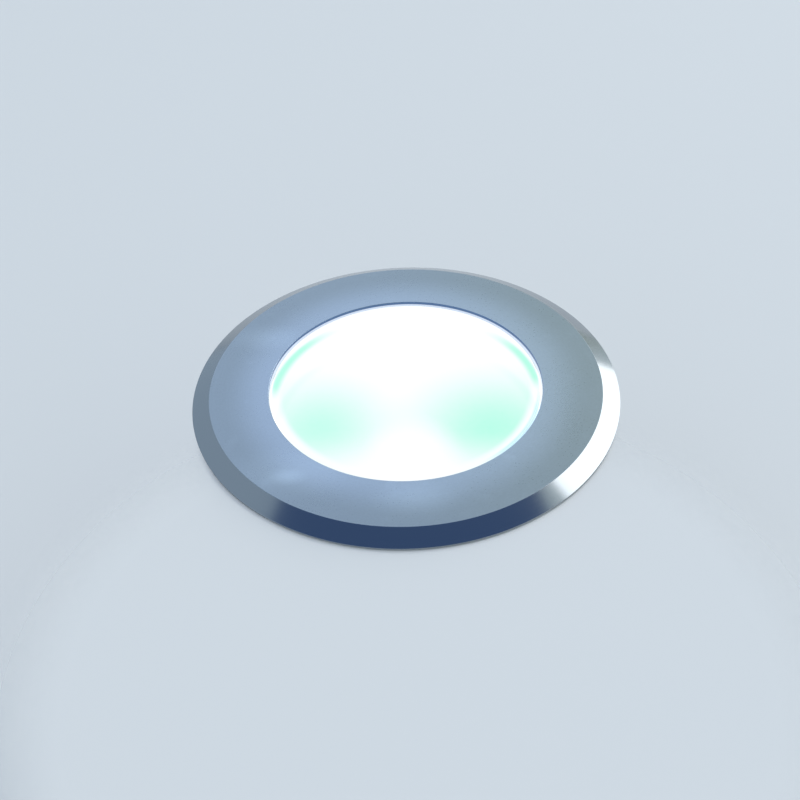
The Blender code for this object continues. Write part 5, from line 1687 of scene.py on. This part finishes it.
def clips():
    screw = {"radius": 0.0012, "length": 0.0032, "headRadius": 0.0019, "headHeight": 0.0012}
    masters = {
        "bracket": bracket(),
        "arm": arm(),
        "boot": boot(),
        "pin": pin(),
        "screw": makeScrew("clip_screw", **screw),
    }
    masters["spring"], springHalf = spring()
    tilted = Matrix.Rotation(-clip["tilt"], 4, "Y")
    screwTurn = Matrix.Rotation(math.pi / 2, 4, "Y")
    for side, word in sides:
        place = clipPlace(side, word)
        moving = f"{word}_clip"
        for key, keyPlace, body, slot in (
            ("bracket", place, "luminaire", "plated_steel"),
            ("pin", place, "luminaire", "plated_steel"),
            ("arm", place @ tilted, moving, "spring_steel"),
            ("boot", place @ tilted, moving, "gasket_rubber"),
        ):
            piece = copied(masters[key], f"{masters[key].name}_{word}", keyPlace)
            dress(piece, slot, body, f"{word}_clip_{key}")
        for drop, level in zip(clip["screwDrops"], ("upper", "lower")):
            screwPlace = place @ Matrix.Translation((clip["bracketFront"] + seat, 0, -drop)) @ screwTurn
            piece = copied(masters["screw"], f"bracket_screw_{word}_{level}", screwPlace)
            dress(piece, "plated_steel", "luminaire", f"{word}_clip_screw_{level}")
        piece = copied(masters["spring"], f"torsion_spring_{word}", place)
        coat(piece, "spring_steel")
        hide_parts(f"{word}_clip_spring")
        fixedEnd = place @ Vector((0, -springHalf, 0))
        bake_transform(piece)
    for master in masters.values():
        bpy.data.objects.remove(master)


clips()
print("clips made")


# The stage: a pale ground, and at floor level a sheet of paving that shows only from above

def plainPale(name, colour):
    material = bpy.data.materials.new(name)
    material.use_nodes = True
    shading = Shading(material.node_tree)
    shader = material.node_tree.nodes["Principled BSDF"]
    shader.inputs["Base Color"].default_value = (*colour, 1.0)
    shader.inputs["Roughness"].default_value = 0.9
    shader.inputs["Specular IOR Level"].default_value = 0.2
    return material, shading, shader


def makeStage():
    settings = {
        "groundSize": 8.0,
        "groundDrop": 0.0001,
        "pavingDrop": 0.00005,
        "holeRadius": 0.0386,
        "pavingAway": -0.066,
        "pavingRadius": 0.054,
        "fade": 0.016,
        "margin": 0.002,
        "pale": (0.74, 0.75, 0.76),
    }
    bpy.ops.object.select_all(action="DESELECT")
    bpy.ops.mesh.primitive_plane_add(size=settings["groundSize"], location=(0, 0, -settings["groundDrop"]))
    ground = bpy.context.object
    ground.name = "ground"
    ground.data.materials.append(plainPale("pale ground", settings["pale"])[0])

    # a small sheet hides the sleeve from the photograph's side, and fades out so that no edge shows
    top = floorLevel - settings["pavingDrop"]
    middle, solid = settings["pavingAway"], settings["pavingRadius"]
    half = solid + settings["fade"] + settings["margin"]
    paving = block("paving", (-half, middle - half, top - 0.01), (half, middle + half, top))
    combine(paving, upright("hole", settings["holeRadius"], 0, top - 0.1, top + 0.1, 128))
    startEdit(paving)
    selectFaces(paving, lambda face: face.normal.z < 0.9)
    bpy.ops.mesh.delete(type="FACE")
    endEdit()
    moved(paving, Matrix.Rotation(photoAzimuth, 4, "Z"))
    paving.visible_shadow = False
    paving.visible_diffuse = False
    material, shading, shader = plainPale("pale paving", settings["pale"])
    behind = shading.add("ShaderNodeNewGeometry", {}, {}, "Backfacing")
    clear = shading.add("ShaderNodeBsdfTransparent", {}, {})
    stone = Wire(shading, shader.outputs[0])
    place = shading.add("ShaderNodeTexCoord", {}, {}, "Object")
    across, away = shading.photoParts(place)[:2]
    offset = away - middle
    outside = ((across * across + offset * offset) ** 0.5).rise(solid, solid + settings["fade"])
    mixed = shading.add("ShaderNodeMixShader", {}, {0: behind.most(outside), 1: stone, 2: clear})
    output = material.node_tree.nodes["Material Output"]
    material.node_tree.links.new(mixed.socket, output.inputs["Surface"])
    paving.data.materials.clear()
    paving.data.materials.append(material)


def makeWorld():
    settings = {
        "left": (0.49, 0.62, 0.745),
        "middle": (0.53, 0.65, 0.775),
        "right": (0.475, 0.565, 0.48),
        "farRight": (0.74, 0.87, 0.90),
        "overhead": (0.095, 0.167, 0.336),
        "leftEdge": (-0.55, -0.15),
        "rightEdge": (-0.04, 0.18),
        "farEdge": (0.40, 0.55),
        "capEdge": (0.785, 0.805),
    }
    world = bpy.data.worlds.new("studio")
    world.use_nodes = True
    bpy.context.scene.world = world
    shading = Shading(world.node_tree)
    direction = shading.add("ShaderNodeTexCoord", {}, {}, "Generated")
    across, up = shading.photoParts(direction)[::2]
    leftHalf = shading.mixed(across.rise(*settings["leftEdge"]), settings["left"], settings["middle"])
    nearRight = shading.mixed(across.rise(*settings["rightEdge"]), leftHalf, settings["right"])
    around = shading.mixed(across.rise(*settings["farEdge"]), nearRight, settings["farRight"])
    colour = shading.mixed(up.rise(*settings["capEdge"]), around, settings["overhead"])
    background = world.node_tree.nodes["Background"]
    world.node_tree.links.new(colour.socket, background.inputs["Color"])


def addLamp(name, direction, distance, size, power, colour, lengthwise=(1, 0, 0), glossy=True):
    # a soft box that faces the ring, from a direction given as the camera sees it
    target = Vector((0, 0, ringTop))
    turn = Matrix.Rotation(photoAzimuth, 3, "Z")
    towards = turn @ Vector(direction).normalized()
    along = turn @ Vector(lengthwise)
    along = (along - towards * along.dot(towards)).normalized()
    axes = Matrix((along, towards.cross(along), towards)).transposed().to_4x4()
    bpy.ops.object.light_add(type="AREA")
    lamp = bpy.context.object
    lamp.name = name
    lamp.matrix_world = Matrix.Translation(target + towards * distance) @ axes
    lamp.data.shape = "RECTANGLE"
    lamp.data.size, lamp.data.size_y = size
    lamp.data.energy = power
    lamp.data.color = colour
    lamp.visible_camera = False
    lamp.visible_glossy = glossy


def makeLamps():
    settings = {
        "right softbox": {
            "direction": (0.648, 0.539, 0.537), "distance": 2.7, "size": (2.87, 1.4), "power": 31.0,
            "colour": (1.0, 0.98, 0.95), "lengthwise": (-0.085, 0.754, -0.656),
        },
        "overhead fill": {
            "direction": (-0.1, -0.2, 1.0), "distance": 3.3, "size": (3.0, 3.0), "power": 36.0,
            "colour": (1.0, 0.955, 0.90), "glossy": False,
        },
    }
    for name, lamp in settings.items():
        addLamp(name, **lamp)


def makeCamera():
    settings = {
        "elevation": math.radians(40.446),
        "distance": 0.2706,
        "lens": 65.09,
        "roll": math.radians(2.120),
        "yaw": math.radians(-0.2347),
        "pitch": math.radians(-0.5834),
    }
    turn, rise = photoAzimuth, settings["elevation"]
    back = Vector((math.sin(turn) * math.cos(rise), -math.cos(turn) * math.cos(rise), math.sin(rise)))
    right = Vector((math.cos(turn), math.sin(turn), 0))
    up = right.cross(-back)
    yaw, pitch, roll = settings["yaw"], settings["pitch"], settings["roll"]
    ahead = (-back * math.cos(yaw) + right * math.sin(yaw)) * math.cos(pitch) + up * math.sin(pitch)
    right = right * math.cos(yaw) + back * math.sin(yaw)
    up = right.cross(ahead)
    axes = [
        right * math.cos(roll) - up * math.sin(roll),
        right * math.sin(roll) + up * math.cos(roll),
        -ahead,
    ]
    place = Vector((0, 0, ringTop)) + back * settings["distance"]
    bpy.ops.object.camera_add()
    camera = bpy.context.object
    camera.matrix_world = Matrix.Translation(place) @ Matrix(axes).transposed().to_4x4()
    camera.data.lens = settings["lens"]
    camera.data.clip_start = 0.01
    camera.data.clip_end = 20.0
    bpy.context.scene.camera = camera
    bpy.context.scene.view_settings.view_transform = "Standard"


makeStage()
makeWorld()
makeLamps()
makeCamera()
print("stage, lamps and camera made")
